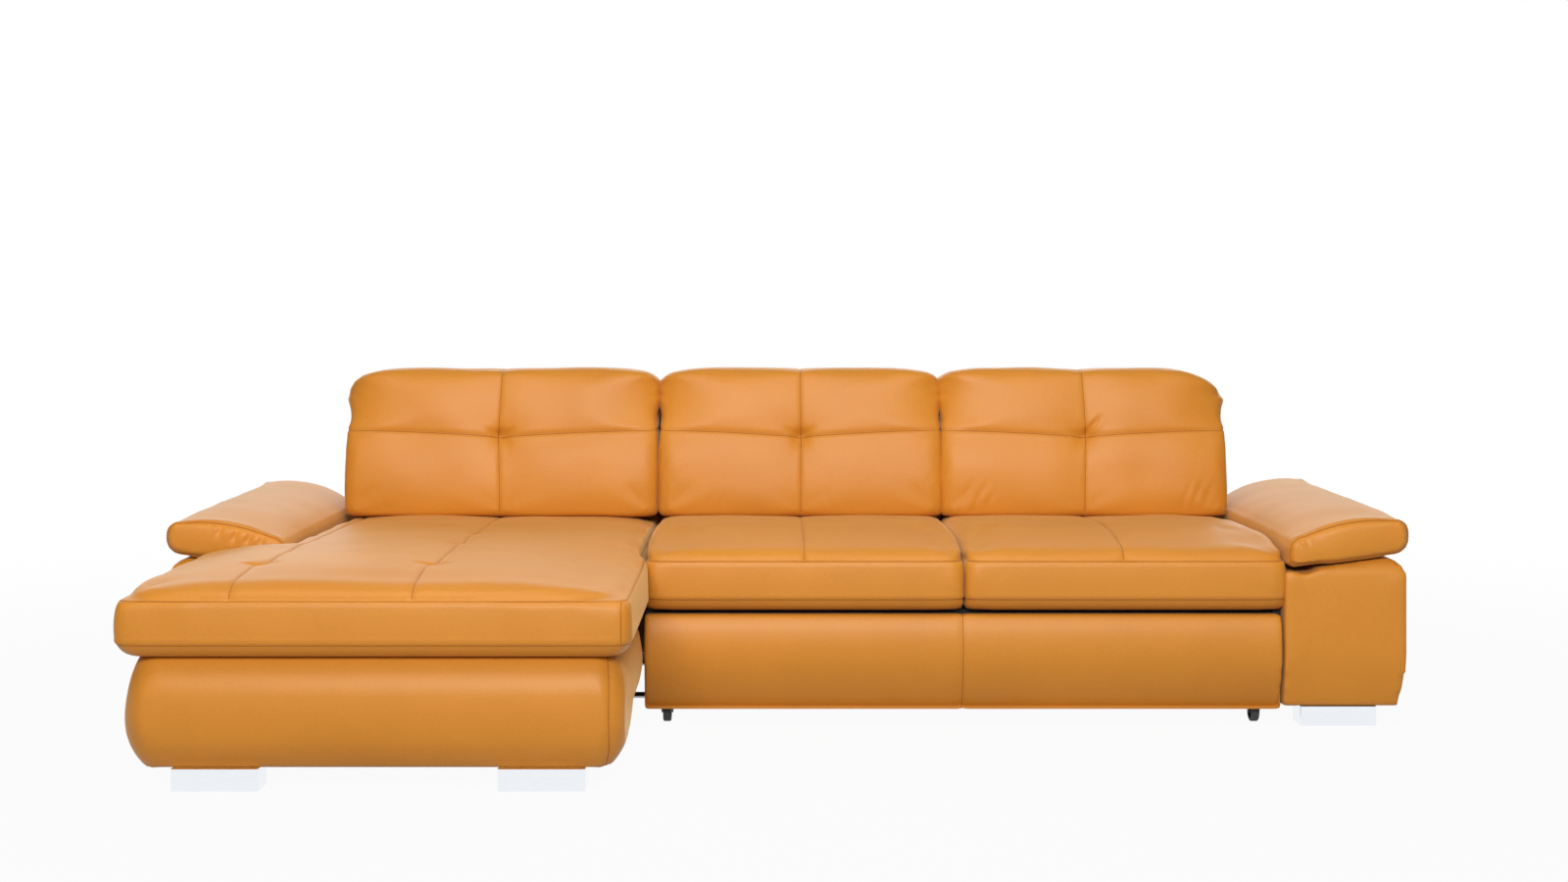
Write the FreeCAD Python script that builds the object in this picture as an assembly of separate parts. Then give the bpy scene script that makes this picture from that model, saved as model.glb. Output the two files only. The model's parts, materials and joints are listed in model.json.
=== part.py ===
import FreeCAD
import Part
import math
import os

Vector = FreeCAD.Vector
X_AXIS = Vector(1, 0, 0)
Y_AXIS = Vector(0, 1, 0)
Z_AXIS = Vector(0, 0, 1)

# Corner sofa in millimetres. +X runs to the sitter's left, seen from the front as the right,
# +Y runs to the back and +Z up. The origin is on the floor, in the middle of the outline.

# Widths, from the left arm to the right arm
arm_width = 284.0
pad_overhang = 7.0
chaise_width = 821.0
module_gap = 5.0
sofa_width = 1492.0
chaise_wing = 215.0

# Depths, from the front of the chaise to the rear of the back
total_depth = 1720.0
chaise_reach = 695.0
back_thickness = 137.0
back_shell_depth = 208.0
arm_rear_step = 10.0
pad_rear_step = 55.0

# Heights
foot_height = 45.0
seat_plane = 270.0
low_seam_z = 297.0
top_seam_z = 387.0
crown_z = 440.0
seat_rear_z = 420.0
back_seam_z = 650.0
back_shell_top = 690.0
panel_top = 255.0

# Boards, webbing and running gaps
board = 18.0
strap_thickness = 4.0
strap_width = 50.0
cloth_gap = 0.5
slide_gap = 2.0

# Headrests
headrest_axis_back = 115.0
headrest_axis_z = 745.0
roll_radius = 65.0
roll_gap = 1.0
lip_angle = 195.0
paddle_reach = 215.0
paddle_drop = 45.0
headrest_open = 75.0

# Arm pads
pad_slope = 8.3
pad_inner_top = 447.0
pad_inner_bottom = 366.0
pad_pivot_radius = 38.0
pad_corner_radius = 15.0
pad_edge_round = 26.0
pad_edge_height = 33.0
pad_crown = 15.0
pad_rear_rise = 9.0
pad_lift = 6.0
pad_open = 45.0

# Ratchet levers
lever_thickness = 5.0
lever_gap = 0.3
ear_radius = 16.0
pin_radius = 4.0
pin_running_gap = 0.05
tooth_count = 14
tooth_depth = 2.5

# Bed drawer
drawer_rear_gap = 275.0
panel_gap = 7.0
panel_depth = 50.0
drawer_floor = 70.0
wheel_radius = 30.0
wheel_width = 19.0
castor_inset = 50.0
castor_back = 85.0

# Places worked out from the sizes above
total_width = 2 * (arm_width + pad_overhang) + chaise_width + module_gap + sofa_width
arm_outer = total_width / 2 - pad_overhang
arm_inner = arm_outer - arm_width
chaise_left = -arm_inner
chaise_right = chaise_left + chaise_width
sofa_left = chaise_right + module_gap
sofa_right = sofa_left + sofa_width
sofa_middle = (sofa_left + sofa_right) / 2
rear = total_depth / 2
chaise_front = -rear
sofa_front = chaise_front + chaise_reach
shell_front = rear - back_shell_depth
back_front = shell_front - back_thickness
drawer_depth = rear - sofa_front - panel_depth - drawer_rear_gap
hinge_y = back_front + headrest_axis_back
rail_top = seat_plane - strap_thickness
rail_bottom = rail_top - 30.0
pivot_x = arm_inner + pad_overhang + pad_pivot_radius
pivot_z = pad_inner_top - pad_pivot_radius


def across(x):
    """Places a (y, z) pair in the plane at x."""
    return lambda y, z: Vector(x, y, z)


def along(y):
    """Places an (x, z) pair in the plane at y."""
    return lambda x, z: Vector(x, y, z)


def bow(start, end, height):
    """Middle of an arc from start to end that stands out to the left by height."""
    length = math.dist(start, end)
    middle_a = (start[0] + end[0]) / 2 - (end[1] - start[1]) / length * height
    middle_b = (start[1] + end[1]) / 2 + (end[0] - start[0]) / length * height
    return (middle_a, middle_b)


def polar(centre, radius, degrees):
    turn = math.radians(degrees)
    return (centre[0] + radius * math.cos(turn), centre[1] + radius * math.sin(turn))


def outline(place, start, steps):
    """Closed wire. A step is (end,) for a line or (middle, end) for an arc."""
    edges = []
    here = start
    for step in steps:
        end = step[-1]
        if len(step) == 2:
            edges.append(Part.Arc(place(*here), place(*step[0]), place(*end)).toShape())
        else:
            edges.append(Part.LineSegment(place(*here), place(*end)).toShape())
        here = end
    return Part.Wire(edges)


def prism(place, start, steps, push):
    return Part.Face(outline(place, start, steps)).extrude(push)


def box(x0, x1, y0, y1, z0, z1):
    return Part.makeBox(x1 - x0, y1 - y0, z1 - z0, Vector(x0, y0, z0))


def loft(wires):
    """Solid through sections, straight from each to the next."""
    return Part.makeLoft(wires, True, True)


def half_stations(width, channel_run, side_run):
    """Distances out from a seam, each with its share of the channel and of the side's rounding."""
    stations = [(channel_run * share, (1 - share) ** 2, 0.0) for share in (0, 0.2, 0.5, 1)]
    for degrees in (0, 30, 55, 75, 90):
        turn = math.radians(degrees)
        stations.append((width - side_run * (1 - math.sin(turn)), 0.0, 1 - math.cos(turn)))
    return stations


def end_stations(length, run):
    """Distances along a piece, each with its share of the rounding at the nearer end."""
    stations = []
    for degrees in (90, 65, 35, 0):
        turn = math.radians(degrees)
        stations.append((run * (1 - math.sin(turn)), 1 - math.cos(turn)))
    return stations + [(length - out, share) for out, share in reversed(stations)]


def joined(shapes):
    """One solid from shapes that share a face."""
    result = shapes[0].multiFuse(shapes[1:]).removeSplitter()
    return result.Solids[0] if len(result.Solids) == 1 else result


def mirrored(shape):
    """The same piece for the other arm."""
    return shape.mirror(Vector(0, 0, 0), X_AXIS)


def save(name, shapes):
    """Writes one sub-part. Identical pieces of it stay separate solids."""
    solids = shapes if isinstance(shapes, list) else [shapes]
    whole = solids[0] if len(solids) == 1 else Part.makeCompound(solids)
    if not whole.isValid():
        print("not valid:", name)
    whole.exportStep("parts/" + name + ".step")


# Seat cushions: a boxed front, a crowned top and a sewn channel down the middle
seat_front_round = 25.0
seat_band_bow = 5.0
seat_crest_reach = 245.0
seat_crest_bow = 13.0
seat_channel = 7.0
seat_channel_run = 60.0
seat_side_run = 55.0
seat_side_fall = 24.0
seat_side_draw = 16.0
cushion_side_gap = 2.5


def seat_section(x, dip, draw):
    """Seat cushion cut at x: dip lowers the top, draw pulls the front band in."""
    front = sofa_front + draw
    bottom_rear = (shell_front - cloth_gap, seat_plane)
    bottom_front = (front + seat_front_round, seat_plane)
    low_seam = (front, low_seam_z)
    top_seam = (front + 2, top_seam_z - dip / 3)
    crest = (front + seat_crest_reach, crown_z - dip)
    top_back = (back_front, seat_rear_z + 1 - dip / 2)
    top_rear = (shell_front - cloth_gap, seat_rear_z - dip / 2)
    return outline(
        across(x),
        bottom_rear,
        [
            (bottom_front,),
            (bow(bottom_front, low_seam, 8), low_seam),
            (bow(low_seam, top_seam, seat_band_bow), top_seam),
            (bow(top_seam, crest, seat_crest_bow), crest),
            (bow(crest, top_back, 4.5), top_back),
            (top_rear,),
            (bottom_rear,),
        ],
    )


def seat_half(seam_x, end_x):
    """The cushion from its middle seam to one side, where it is drawn in."""
    way = math.copysign(1, end_x - seam_x)
    sections = []
    for out, channel, side in half_stations(abs(end_x - seam_x), seat_channel_run, seat_side_run):
        dip = seat_channel * channel + seat_side_fall * side
        sections.append(seat_section(seam_x + way * out, dip, seat_side_draw * side))
    return loft(sections)


def seat_cushion(left, right):
    seam = (left + right) / 2
    return joined([seat_half(seam, left + cushion_side_gap), seat_half(seam, right - cushion_side_gap)])


# Chaise cushion: an L round the front of the arm, with two sewn channels and four tufts
chaise_seam_left = chaise_left + 22.0
chaise_seam_main = (chaise_left + chaise_right) / 2 - 8.0
chaise_bulge = 15.0
tuft_reaches = (255.0, 650.0, 900.0)
tuft_depth = 15.0
tuft_run = 45.0
chaise_channel = 5.0
elbow_gap = 20.0
chaise_front_run = 38.0
chaise_front_inset = 30.0
chaise_front_squeeze = 14.0


def chaise_top(reach):
    """Height of the cushion's top at a distance behind its front edge."""
    ramp = min(reach / 190.0, 1.0)
    crown = top_seam_z + (crown_z - top_seam_z) * math.sin(ramp * math.pi / 2)
    fall = max(reach - 700.0, 0.0) / 780.0
    return crown - (crown_z - seat_rear_z) * fall


def chaise_dip(reach):
    """Depth of the channels, deeper at a tuft."""
    nearest = min(abs(reach - tuft) for tuft in tuft_reaches)
    return chaise_channel + (tuft_depth - chaise_channel) * max(0.0, 1 - nearest / (tuft_run + 10))


def chaise_front_section(reach, inset, squeeze):
    """The wide part cut at a distance behind its front edge."""
    left = chaise_left - chaise_wing + inset
    right = chaise_right + chaise_bulge - inset
    top = chaise_top(reach)
    dip = chaise_dip(reach) * min(1.0, reach / 150.0)
    low = low_seam_z + squeeze
    edge_top = top_seam_z - squeeze
    bottom = seat_plane + squeeze
    start = (right - 20, bottom)
    bottom_left = (left + 20, bottom)
    left_low = (left, low)
    left_top = (left + 3, edge_top)
    seam_left = (chaise_seam_left, top - dip)
    seam_main = (chaise_seam_main, top - dip)
    right_top = (right - 3, edge_top)
    right_low = (right, low)
    lift = max(top - edge_top, 4.0)
    return outline(
        along(chaise_front + reach),
        start,
        [
            (bottom_left,),
            (bow(bottom_left, left_low, 7), left_low),
            (bow(left_low, left_top, 4), left_top),
            (bow(left_top, seam_left, 0.35 * lift), seam_left),
            (bow(seam_left, seam_main, dip + 1), seam_main),
            (bow(seam_main, right_top, 0.4 * lift), right_top),
            (bow(right_top, right_low, 4), right_low),
            (bow(right_low, start, 7), start),
        ],
    )


def chaise_rear_section(reach):
    """The part beside the arm, cut at a distance behind the front edge."""
    left = chaise_left + cushion_side_gap
    right = chaise_right - cushion_side_gap
    top = chaise_top(reach)
    dip = chaise_dip(reach)
    start = (right, seat_plane)
    bottom_left = (left, seat_plane)
    left_top = (left, top - 22)
    seam_left = (chaise_seam_left, top - dip)
    seam_main = (chaise_seam_main, top - dip)
    right_top = (right, top - 30)
    return outline(
        along(chaise_front + reach),
        start,
        [
            (bottom_left,),
            (left_top,),
            (bow(left_top, seam_left, 3), seam_left),
            (bow(seam_left, seam_main, dip + 1), seam_main),
            (bow(seam_main, right_top, 12), right_top),
            (start,),
        ],
    )


def chaise_cushion():
    elbow = chaise_reach - elbow_gap
    front_wires = []
    for degrees in (90, 65, 40, 15, 0):
        turn = math.radians(degrees)
        share = 1 - math.cos(turn)
        reach = chaise_front_run * (1 - math.sin(turn))
        inset = chaise_front_inset * share
        front_wires.append(chaise_front_section(reach, inset, chaise_front_squeeze * share))
    first_tuft, second_tuft, third_tuft = tuft_reaches
    front_reaches = [80, 130]
    for tuft in (first_tuft, second_tuft):
        front_reaches += [tuft - tuft_run, tuft]
    front_reaches.insert(4, first_tuft + tuft_run)
    front_reaches.insert(5, (first_tuft + second_tuft) / 2)
    front_reaches.append(elbow)
    for reach in front_reaches:
        front_wires.append(chaise_front_section(reach, 0, 0))
    rear_reach = shell_front - cloth_gap - chaise_front
    rear_wires = []
    rear_reaches = [elbow, third_tuft - 3 * tuft_run, third_tuft - tuft_run, third_tuft]
    rear_reaches += [third_tuft + tuft_run, third_tuft + 4 * tuft_run]
    rear_reaches += [(third_tuft + rear_reach) / 2, rear_reach]
    for reach in rear_reaches:
        rear_wires.append(chaise_rear_section(reach))
    return joined([loft(front_wires), loft(rear_wires)])


# Back cushions: two crowned panels over a cross seam, a tuft where the seams meet,
# and a hollow along the top in which the headrest rolls
lean = 10.6
back_bottom = seat_rear_z + 4.0
back_gap = 5.0
back_channel = 6.0
back_channel_run = 75.0
back_side_run = 60.0
back_side_draw = 28.0
back_valley = 5.0
back_tuft = 14.0
hinge_centre = (hinge_y, headrest_axis_z)


def shell_face_y(z):
    """Leaning face of the back shell."""
    return shell_front + max(z - back_bottom, 0.0) * math.tan(math.radians(lean))


def back_section(x, draw, valley):
    """Back cushion cut at x: draw moves the front back, valley deepens the cross seam."""
    bottom_rear = (shell_face_y(back_bottom) - cloth_gap, back_bottom)
    bottom_front = (back_front + draw + 22, back_bottom)
    low_front = (back_front + draw, back_bottom + 26)
    seam_y = back_front + (back_seam_z - back_bottom) * math.tan(math.radians(lean)) * 0.75
    seam = (seam_y + draw + valley, back_seam_z)
    lip = polar(hinge_centre, roll_radius + roll_gap, lip_angle + 0.5 * draw)
    hollow_end_angle = 360 - math.degrees(math.asin(paddle_drop / roll_radius))
    hollow_end = polar(hinge_centre, roll_radius + roll_gap, hollow_end_angle)
    hollow_middle_angle = (lip_angle + 0.5 * draw + hollow_end_angle) / 2
    hollow_middle = polar(hinge_centre, roll_radius + roll_gap, hollow_middle_angle)
    top_rear = (shell_face_y(back_shell_top) - cloth_gap, back_shell_top)
    return outline(
        across(x),
        bottom_rear,
        [
            (bottom_front,),
            (bow(bottom_front, low_front, 8), low_front),
            (bow(low_front, seam, 11), seam),
            (bow(seam, lip, 7), lip),
            (hollow_middle, hollow_end),
            (top_rear,),
            (bottom_rear,),
        ],
    )


def back_half(seam_x, end_x):
    way = math.copysign(1, end_x - seam_x)
    sections = []
    for out, channel, side in half_stations(abs(end_x - seam_x), back_channel_run, back_side_run):
        draw = back_channel * channel + back_side_draw * side
        valley = back_valley + (back_tuft - back_valley) * channel - (back_valley - 1) * side
        sections.append(back_section(seam_x + way * out, draw, valley))
    return loft(sections)


def back_cushion(left, right):
    seam = (left + right) / 2
    return joined([back_half(seam, left + back_gap), back_half(seam, right - back_gap)])


# Headrests: a round root that turns in the hollow and a paddle that lies on the back shell
paddle_thickness = 92.0
corner_run = 90.0
corner_fall = 38.0
headrest_channel = 4.0


def headrest_section(x, sink):
    """Headrest cut at x: sink lowers its top and front together."""
    radius = roll_radius - sink
    root_angle = 360 - math.degrees(math.asin(min(paddle_drop / radius, 0.999)))
    drop = radius * math.sin(math.radians(360 - root_angle))
    tip_y = hinge_y + paddle_reach - 0.6 * sink
    tip_top = headrest_axis_z - drop + paddle_thickness - 1.2 * sink
    under_z = headrest_axis_z - drop
    tip_round = (tip_top - under_z) / 2
    root_low = (hinge_y + radius * math.cos(math.radians(root_angle)), under_z)
    under = (tip_y - tip_round, under_z)
    tip = (tip_y, under_z + tip_round)
    over = (tip_y - tip_round, tip_top)
    top = polar(hinge_centre, radius, 90)
    front_low = polar(hinge_centre, radius, 225)
    front_high = polar(hinge_centre, radius, 135)
    return outline(
        across(x),
        under,
        [
            (root_low,),
            (polar(hinge_centre, radius, (root_angle + 225) / 2), front_low),
            (polar(hinge_centre, radius, 180), front_high),
            (polar(hinge_centre, radius, 112.5), top),
            (bow(top, over, 5), over),
            (polar((over[0], tip[1]), tip_round, 45), tip),
            (polar((under[0], tip[1]), tip_round, 315), under),
        ],
    )


def headrest_half(seam_x, end_x):
    way = math.copysign(1, end_x - seam_x)
    sections = []
    for out, channel, side in half_stations(abs(end_x - seam_x), back_channel_run, corner_run):
        sink = headrest_channel * channel + corner_fall * side
        sections.append(headrest_section(seam_x + way * out, sink))
    return loft(sections)


def headrest_pad(left, right, hinges):
    seam = (left + right) / 2
    pad = joined([headrest_half(seam, left + back_gap), headrest_half(seam, right - back_gap)])
    for x in hinges:
        pad = pad.cut(swept_slot(x)).cut(headrest_lever(x)).cut(headrest_pin(x))
    return pad


# Ratchet fittings of the headrests: a toothed lever on the back shell, a plain lever in the pad
lever_reach = 150.0
lever_height = 24.0
foot_plate_length = 62.0
foot_plate_width = 34.0
foot_plate_thickness = 3.0
fixed_lever_angle = 322.0
slot_side_gap = 1.0
slot_radius = 92.0
slot_half = 15.0
hinge_inset = 150.0
screw_hole_radius = 2.6


def disc(x0, x1, centre, radius):
    """Round plate or hole along X about a (y, z) centre."""
    return Part.makeCylinder(radius, x1 - x0, Vector(x0, centre[0], centre[1]), X_AXIS)


def toothed_disc(x0, x1, centre):
    """Ratchet rim: a disc with saw teeth cut round it."""
    rim = disc(x0, x1, centre, ear_radius)
    pitch = 360.0 / tooth_count
    for tooth in range(tooth_count):
        tip = polar(centre, ear_radius + 1, tooth * pitch)
        root = polar(centre, ear_radius - tooth_depth, tooth * pitch)
        heel = polar(centre, ear_radius + 1, (tooth + 0.8) * pitch)
        rim = rim.cut(prism(across(x0), tip, [(root,), (heel,), (tip,)], Vector(x1 - x0, 0, 0)))
    return rim


def headrest_fixed_lever(x):
    """Toothed ear at the axis, an arm down to the shell and a screwed foot on its top."""
    x1 = x + lever_thickness
    near = polar(hinge_centre, ear_radius - tooth_depth - 2, fixed_lever_angle - 90)
    far = polar(hinge_centre, ear_radius - tooth_depth - 2, fixed_lever_angle + 90)
    foot_front = shell_face_y(back_shell_top) + 2
    foot_back = foot_front + 16
    toe = (foot_front, back_shell_top)
    heel = (foot_back, back_shell_top)
    arm = prism(across(x), near, [(toe,), (heel,), (far,), (near,)], Vector(lever_thickness, 0, 0))
    plate_back = foot_front + foot_plate_length
    plate_x = x + lever_thickness / 2 - foot_plate_width / 2
    plate = box(
        plate_x,
        plate_x + foot_plate_width,
        foot_front,
        plate_back,
        back_shell_top,
        back_shell_top + foot_plate_thickness,
    )
    lever = toothed_disc(x, x1, hinge_centre).fuse(arm).fuse(plate)
    lever = lever.cut(disc(x - 1, x1 + 1, hinge_centre, pin_radius + pin_running_gap))
    for y in (plate_back - 10, plate_back - 24):
        for hole_x in (plate_x + 7, plate_x + foot_plate_width - 7):
            hole = Part.makeCylinder(screw_hole_radius, 20, Vector(hole_x, y, back_shell_top - 5), Z_AXIS)
            lever = lever.cut(hole)
    return lever.removeSplitter()


def headrest_lever(x):
    """Plain lever beside the toothed one, running back inside the paddle."""
    x0 = x + lever_thickness + lever_gap
    x1 = x0 + lever_thickness
    low = headrest_axis_z - lever_height / 2
    arm = box(x0, x1, hinge_y, hinge_y + lever_reach, low, low + lever_height)
    lever = disc(x0, x1, hinge_centre, ear_radius).fuse(arm)
    for share in (0.45, 0.7, 0.92):
        spot = (hinge_y + share * lever_reach, headrest_axis_z)
        lever = lever.cut(disc(x0 - 1, x1 + 1, spot, screw_hole_radius))
    return lever.cut(disc(x0 - 1, x1 + 1, hinge_centre, pin_radius)).removeSplitter()


def headrest_pin(x):
    """Rivet through both levers, with a head at each end."""
    x0 = x - 2.5
    x1 = x + 2 * lever_thickness + lever_gap
    pin = disc(x0, x1, hinge_centre, pin_radius)
    for head_x in (x0, x1):
        pin = pin.fuse(disc(head_x, head_x + 2, hinge_centre, pin_radius + 3))
    return pin.removeSplitter()


def sector(place, centre, radius, start, end, push):
    """Wedge of a disc between two angles."""
    first = polar(centre, radius, start)
    last = polar(centre, radius, end)
    middle = polar(centre, radius, (start + end) / 2)
    return prism(place, centre, [(first,), (middle, last), (centre,)], push)


def strip(place, centre, radius, half, degrees, push):
    """Straight slot from a centre out to a radius."""
    near_a = polar(centre, half, degrees - 90)
    near_b = polar(centre, half, degrees + 90)
    far_a = polar(near_a, radius, degrees)
    far_b = polar(near_b, radius, degrees)
    return prism(place, near_a, [(far_a,), (far_b,), (near_b,), (near_a,)], push)


def turning_slot(place, centre, radius, half, angles, push):
    """Slot that a straight lever needs between two angles of the piece round it."""
    start, end = angles
    slot = sector(place, centre, radius, start, end, push)
    for degrees in angles:
        slot = slot.fuse(strip(place, centre, radius, half, degrees, push))
    return slot


def swept_slot(x):
    """Room in the pad for the toothed lever over the whole turn."""
    x0 = x - slot_side_gap
    push = Vector(lever_thickness + slot_side_gap, 0, 0)
    angles = (fixed_lever_angle - headrest_open, fixed_lever_angle)
    slot = turning_slot(across(x0), hinge_centre, slot_radius, slot_half, angles, push)
    barrel = disc(x0, x0 + push.x, hinge_centre, ear_radius + 1.5)
    head = disc(x - 3.5, x, hinge_centre, pin_radius + 3.5)
    return slot.fuse(barrel).fuse(head)


def lever_notch(x):
    """Room in the back cushion for the toothed lever where it passes the top edge."""
    side = slot_side_gap
    low = back_shell_top - 30
    high = back_shell_top + 40
    return box(x - side, x + lever_thickness + side, hinge_y + 10, shell_front + 60, low, high)


# Back shell: the upholstered box behind the cushions, closed on every side
shell_edge_round = 22.0


def back_shell(left, right):
    top_front = (shell_face_y(back_shell_top), back_shell_top)
    top_rear = (rear - shell_edge_round, back_shell_top)
    round_end = (rear, back_shell_top - shell_edge_round)
    round_middle = polar((top_rear[0], round_end[1]), shell_edge_round, 45)
    start = (shell_front, foot_height)
    return prism(
        across(left),
        start,
        [
            ((rear, foot_height),),
            (round_end,),
            (round_middle, top_rear),
            (top_front,),
            ((shell_front, back_bottom),),
            (start,),
        ],
        Vector(right - left, 0, 0),
    )


# Swelling base panels: one curve from the foot line to the seat, used on every front and side
bulge_height = 160.0
bulge_foot_inset = 46.0
bulge_top_inset = 26.0
base_depth = 52.0
base_corner = base_depth + board
base_side_inset = 27.0


def swell(inset, height):
    """Distance the panel's face is drawn in at a height, for an inset at the end of its arc."""
    end = foot_height if height < bulge_height else seat_plane
    run = abs(end - bulge_height)
    radius = (run * run + inset * inset) / (2 * inset)
    return radius - math.sqrt(radius * radius - (height - bulge_height) ** 2)


def swelling_profile(place):
    """Panel outline with its inner face at 0 and its widest point at base_depth."""
    low = (base_depth - bulge_foot_inset, foot_height)
    low_middle_z = (foot_height + bulge_height) / 2
    low_middle = (base_depth - swell(bulge_foot_inset, low_middle_z), low_middle_z)
    widest = (base_depth, bulge_height)
    high_middle_z = (seat_plane + bulge_height) / 2
    high_middle = (base_depth - swell(bulge_top_inset, high_middle_z), high_middle_z)
    high = (base_depth - bulge_top_inset, seat_plane)
    start = (0, foot_height)
    return outline(
        place,
        start,
        [(low,), (low_middle, widest), (high_middle, high), ((0, seat_plane),), (start,)],
    )


base_left = chaise_left - chaise_wing + base_side_inset
base_right = chaise_right - slide_gap - 3.0
base_front = chaise_front + 5.0


def chaise_front_panel():
    """Front panel with both rounded corners."""
    inner_y = base_front + base_depth
    corner_y = base_front + base_corner
    left_x = base_left + base_corner
    right_x = base_right - base_corner
    left_face = Part.Face(swelling_profile(lambda out, z: Vector(left_x, inner_y - out, z)))
    right_face = Part.Face(swelling_profile(lambda out, z: Vector(right_x, inner_y - out, z)))
    front = left_face.extrude(Vector(right_x - left_x, 0, 0))
    left_corner = left_face.revolve(Vector(left_x, corner_y, 0), Z_AXIS, -90)
    right_corner = right_face.revolve(Vector(right_x, corner_y, 0), Z_AXIS, 90)
    return joined([front, left_corner, right_corner])


def chaise_side_panel(outer_x, side):
    """Straight side panel behind a corner. side is -1 on the left and 1 on the right."""
    corner_y = base_front + base_corner
    inner_x = outer_x - side * base_depth
    face = Part.Face(swelling_profile(lambda out, z: Vector(inner_x + side * out, corner_y, z)))
    return face.extrude(Vector(0, sofa_front - cloth_gap - corner_y, 0))


# Chaise frame: rails on edge under the webbing
frame_front = base_front + base_depth
frame_left = base_left + base_depth
frame_right = base_right - base_depth


def chaise_rails():
    side_front = frame_front + board
    corner_left = frame_left + board
    corner_right = frame_right - board
    return {
        "chaise_front_rail": box(
            corner_left, corner_right, frame_front, side_front, foot_height, rail_top
        ),
        "chaise_left_rail": box(
            frame_left, frame_left + board, side_front, sofa_front, foot_height, rail_top
        ),
        "chaise_right_rail": box(
            frame_right - board, frame_right, side_front, shell_front - board, foot_height, rail_top
        ),
        "chaise_arm_rail": box(
            chaise_left, chaise_left + board, sofa_front, shell_front - board, foot_height, rail_top
        ),
        "chaise_rear_rail": box(
            chaise_left, frame_right, shell_front - board, shell_front, foot_height, rail_top
        ),
    }


def chaise_straps():
    """Webbing from side to side: wide strips in front, shorter ones beside the arm."""
    straps = []
    pitch = 110.0
    first = frame_front + 40
    front_count = int((sofa_front - strap_width - first) / pitch) + 1
    for number in range(front_count):
        y = first + number * pitch
        straps.append(box(frame_left, frame_right, y, y + strap_width, rail_top, seat_plane))
    rear_first = sofa_front + 40
    rear_count = int((shell_front - strap_width - rear_first) / pitch) + 1
    for number in range(rear_count):
        y = rear_first + number * pitch
        straps.append(box(chaise_left, frame_right, y, y + strap_width, rail_top, seat_plane))
    return straps


# Sofa frame: two sides, and a front and a rear rail high enough for the bed to pass under
front_rail_y = sofa_front + panel_depth + 10.0
front_rail_depth = 45.0


def sofa_frame():
    inner_left = sofa_left + board
    inner_right = sofa_right - board
    side_front = sofa_front + panel_depth + slide_gap
    return {
        "sofa_left_side": box(sofa_left, inner_left, side_front, shell_front, foot_height, rail_top),
        "sofa_right_side": box(inner_right, sofa_right, side_front, shell_front, foot_height, rail_top),
        "sofa_front_rail": box(
            inner_left, inner_right, front_rail_y, front_rail_y + front_rail_depth, rail_bottom, rail_top
        ),
        "sofa_rear_rail": box(
            inner_left, inner_right, shell_front - board, shell_front, rail_bottom, rail_top
        ),
    }


def sofa_straps():
    """Webbing from the front rail to the rear rail."""
    straps = []
    pitch = 105.0
    count = int((sofa_width - 2 * board - strap_width) / pitch) + 1
    first = sofa_middle - ((count - 1) * pitch + strap_width) / 2
    for number in range(count):
        x = first + number * pitch
        straps.append(box(x, x + strap_width, front_rail_y, shell_front, rail_top, seat_plane))
    return straps


# Arms: a closed upholstered body with a sloping top, and a thick pad hinged along its inner edge
arm_top_round = 55.0
arm_foot_tuck = 18.0
arm_front_tuck = 24.0
arm_front_round = 22.0
arm_front_top = 430.0
arm_shoulder_z = 340.0
tuck_height = 205.0
arm_rear = rear - arm_rear_step
pad_rear = rear - pad_rear_step
pad_front = sofa_front - 4.0
pad_end_run = 26.0
pad_end_inset = 13.0
pivot = (pivot_x, pivot_z)
slope = math.tan(math.radians(pad_slope))


def pad_under_z(x):
    """Underside of the right pad."""
    return pad_inner_bottom + (x - arm_inner - pad_overhang) * slope


def arm_body():
    """Right arm: the side outline cut by the front outline, with a trough under the pad's hinge."""
    top_inner = (arm_inner, pad_under_z(arm_inner) - pad_lift)
    round_start_x = arm_outer - arm_top_round
    round_start = (round_start_x, pad_under_z(round_start_x) - pad_lift)
    round_end = (arm_outer, round_start[1] - arm_top_round)
    bulge = (arm_outer, tuck_height)
    foot = (arm_outer - arm_foot_tuck, foot_height)
    start = (arm_inner, foot_height)
    side = prism(
        along(sofa_front),
        start,
        [
            (foot,),
            (bow(foot, bulge, -6), bulge),
            (round_end,),
            (bow(round_end, round_start, -20), round_start),
            (top_inner,),
            (start,),
        ],
        Vector(0, arm_rear - sofa_front, 0),
    )
    front = prism(
        across(arm_inner - 1),
        (arm_rear, foot_height),
        front_outline_steps(arm_rear, arm_front_top, arm_front_round),
        Vector(arm_width + 2, 0, 0),
    )
    trough_radius = math.dist((pad_pivot_radius, pivot_z - pad_inner_bottom), (0, 0)) - 5.0
    trough = Part.makeCylinder(
        trough_radius, arm_rear - sofa_front + 2, Vector(pivot_x, sofa_front - 1, pivot_z), Y_AXIS
    )
    return side.common(front).cut(trough)


def front_outline_steps(back_y, top_z, top_round):
    """Steps of a front that tucks in below and rounds over at the top."""
    foot = (sofa_front + arm_front_tuck, foot_height)
    bulge = (sofa_front, tuck_height)
    shoulder = (sofa_front, arm_shoulder_z)
    over = (sofa_front + top_round, arm_shoulder_z + 2.2 * top_round)
    return [
        (foot,),
        (bow(foot, bulge, 7), bulge),
        (shoulder,),
        (bow(shoulder, over, 5), over),
        ((over[0], top_z),),
        ((back_y, top_z),),
        ((back_y, foot_height),),
    ]


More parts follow.
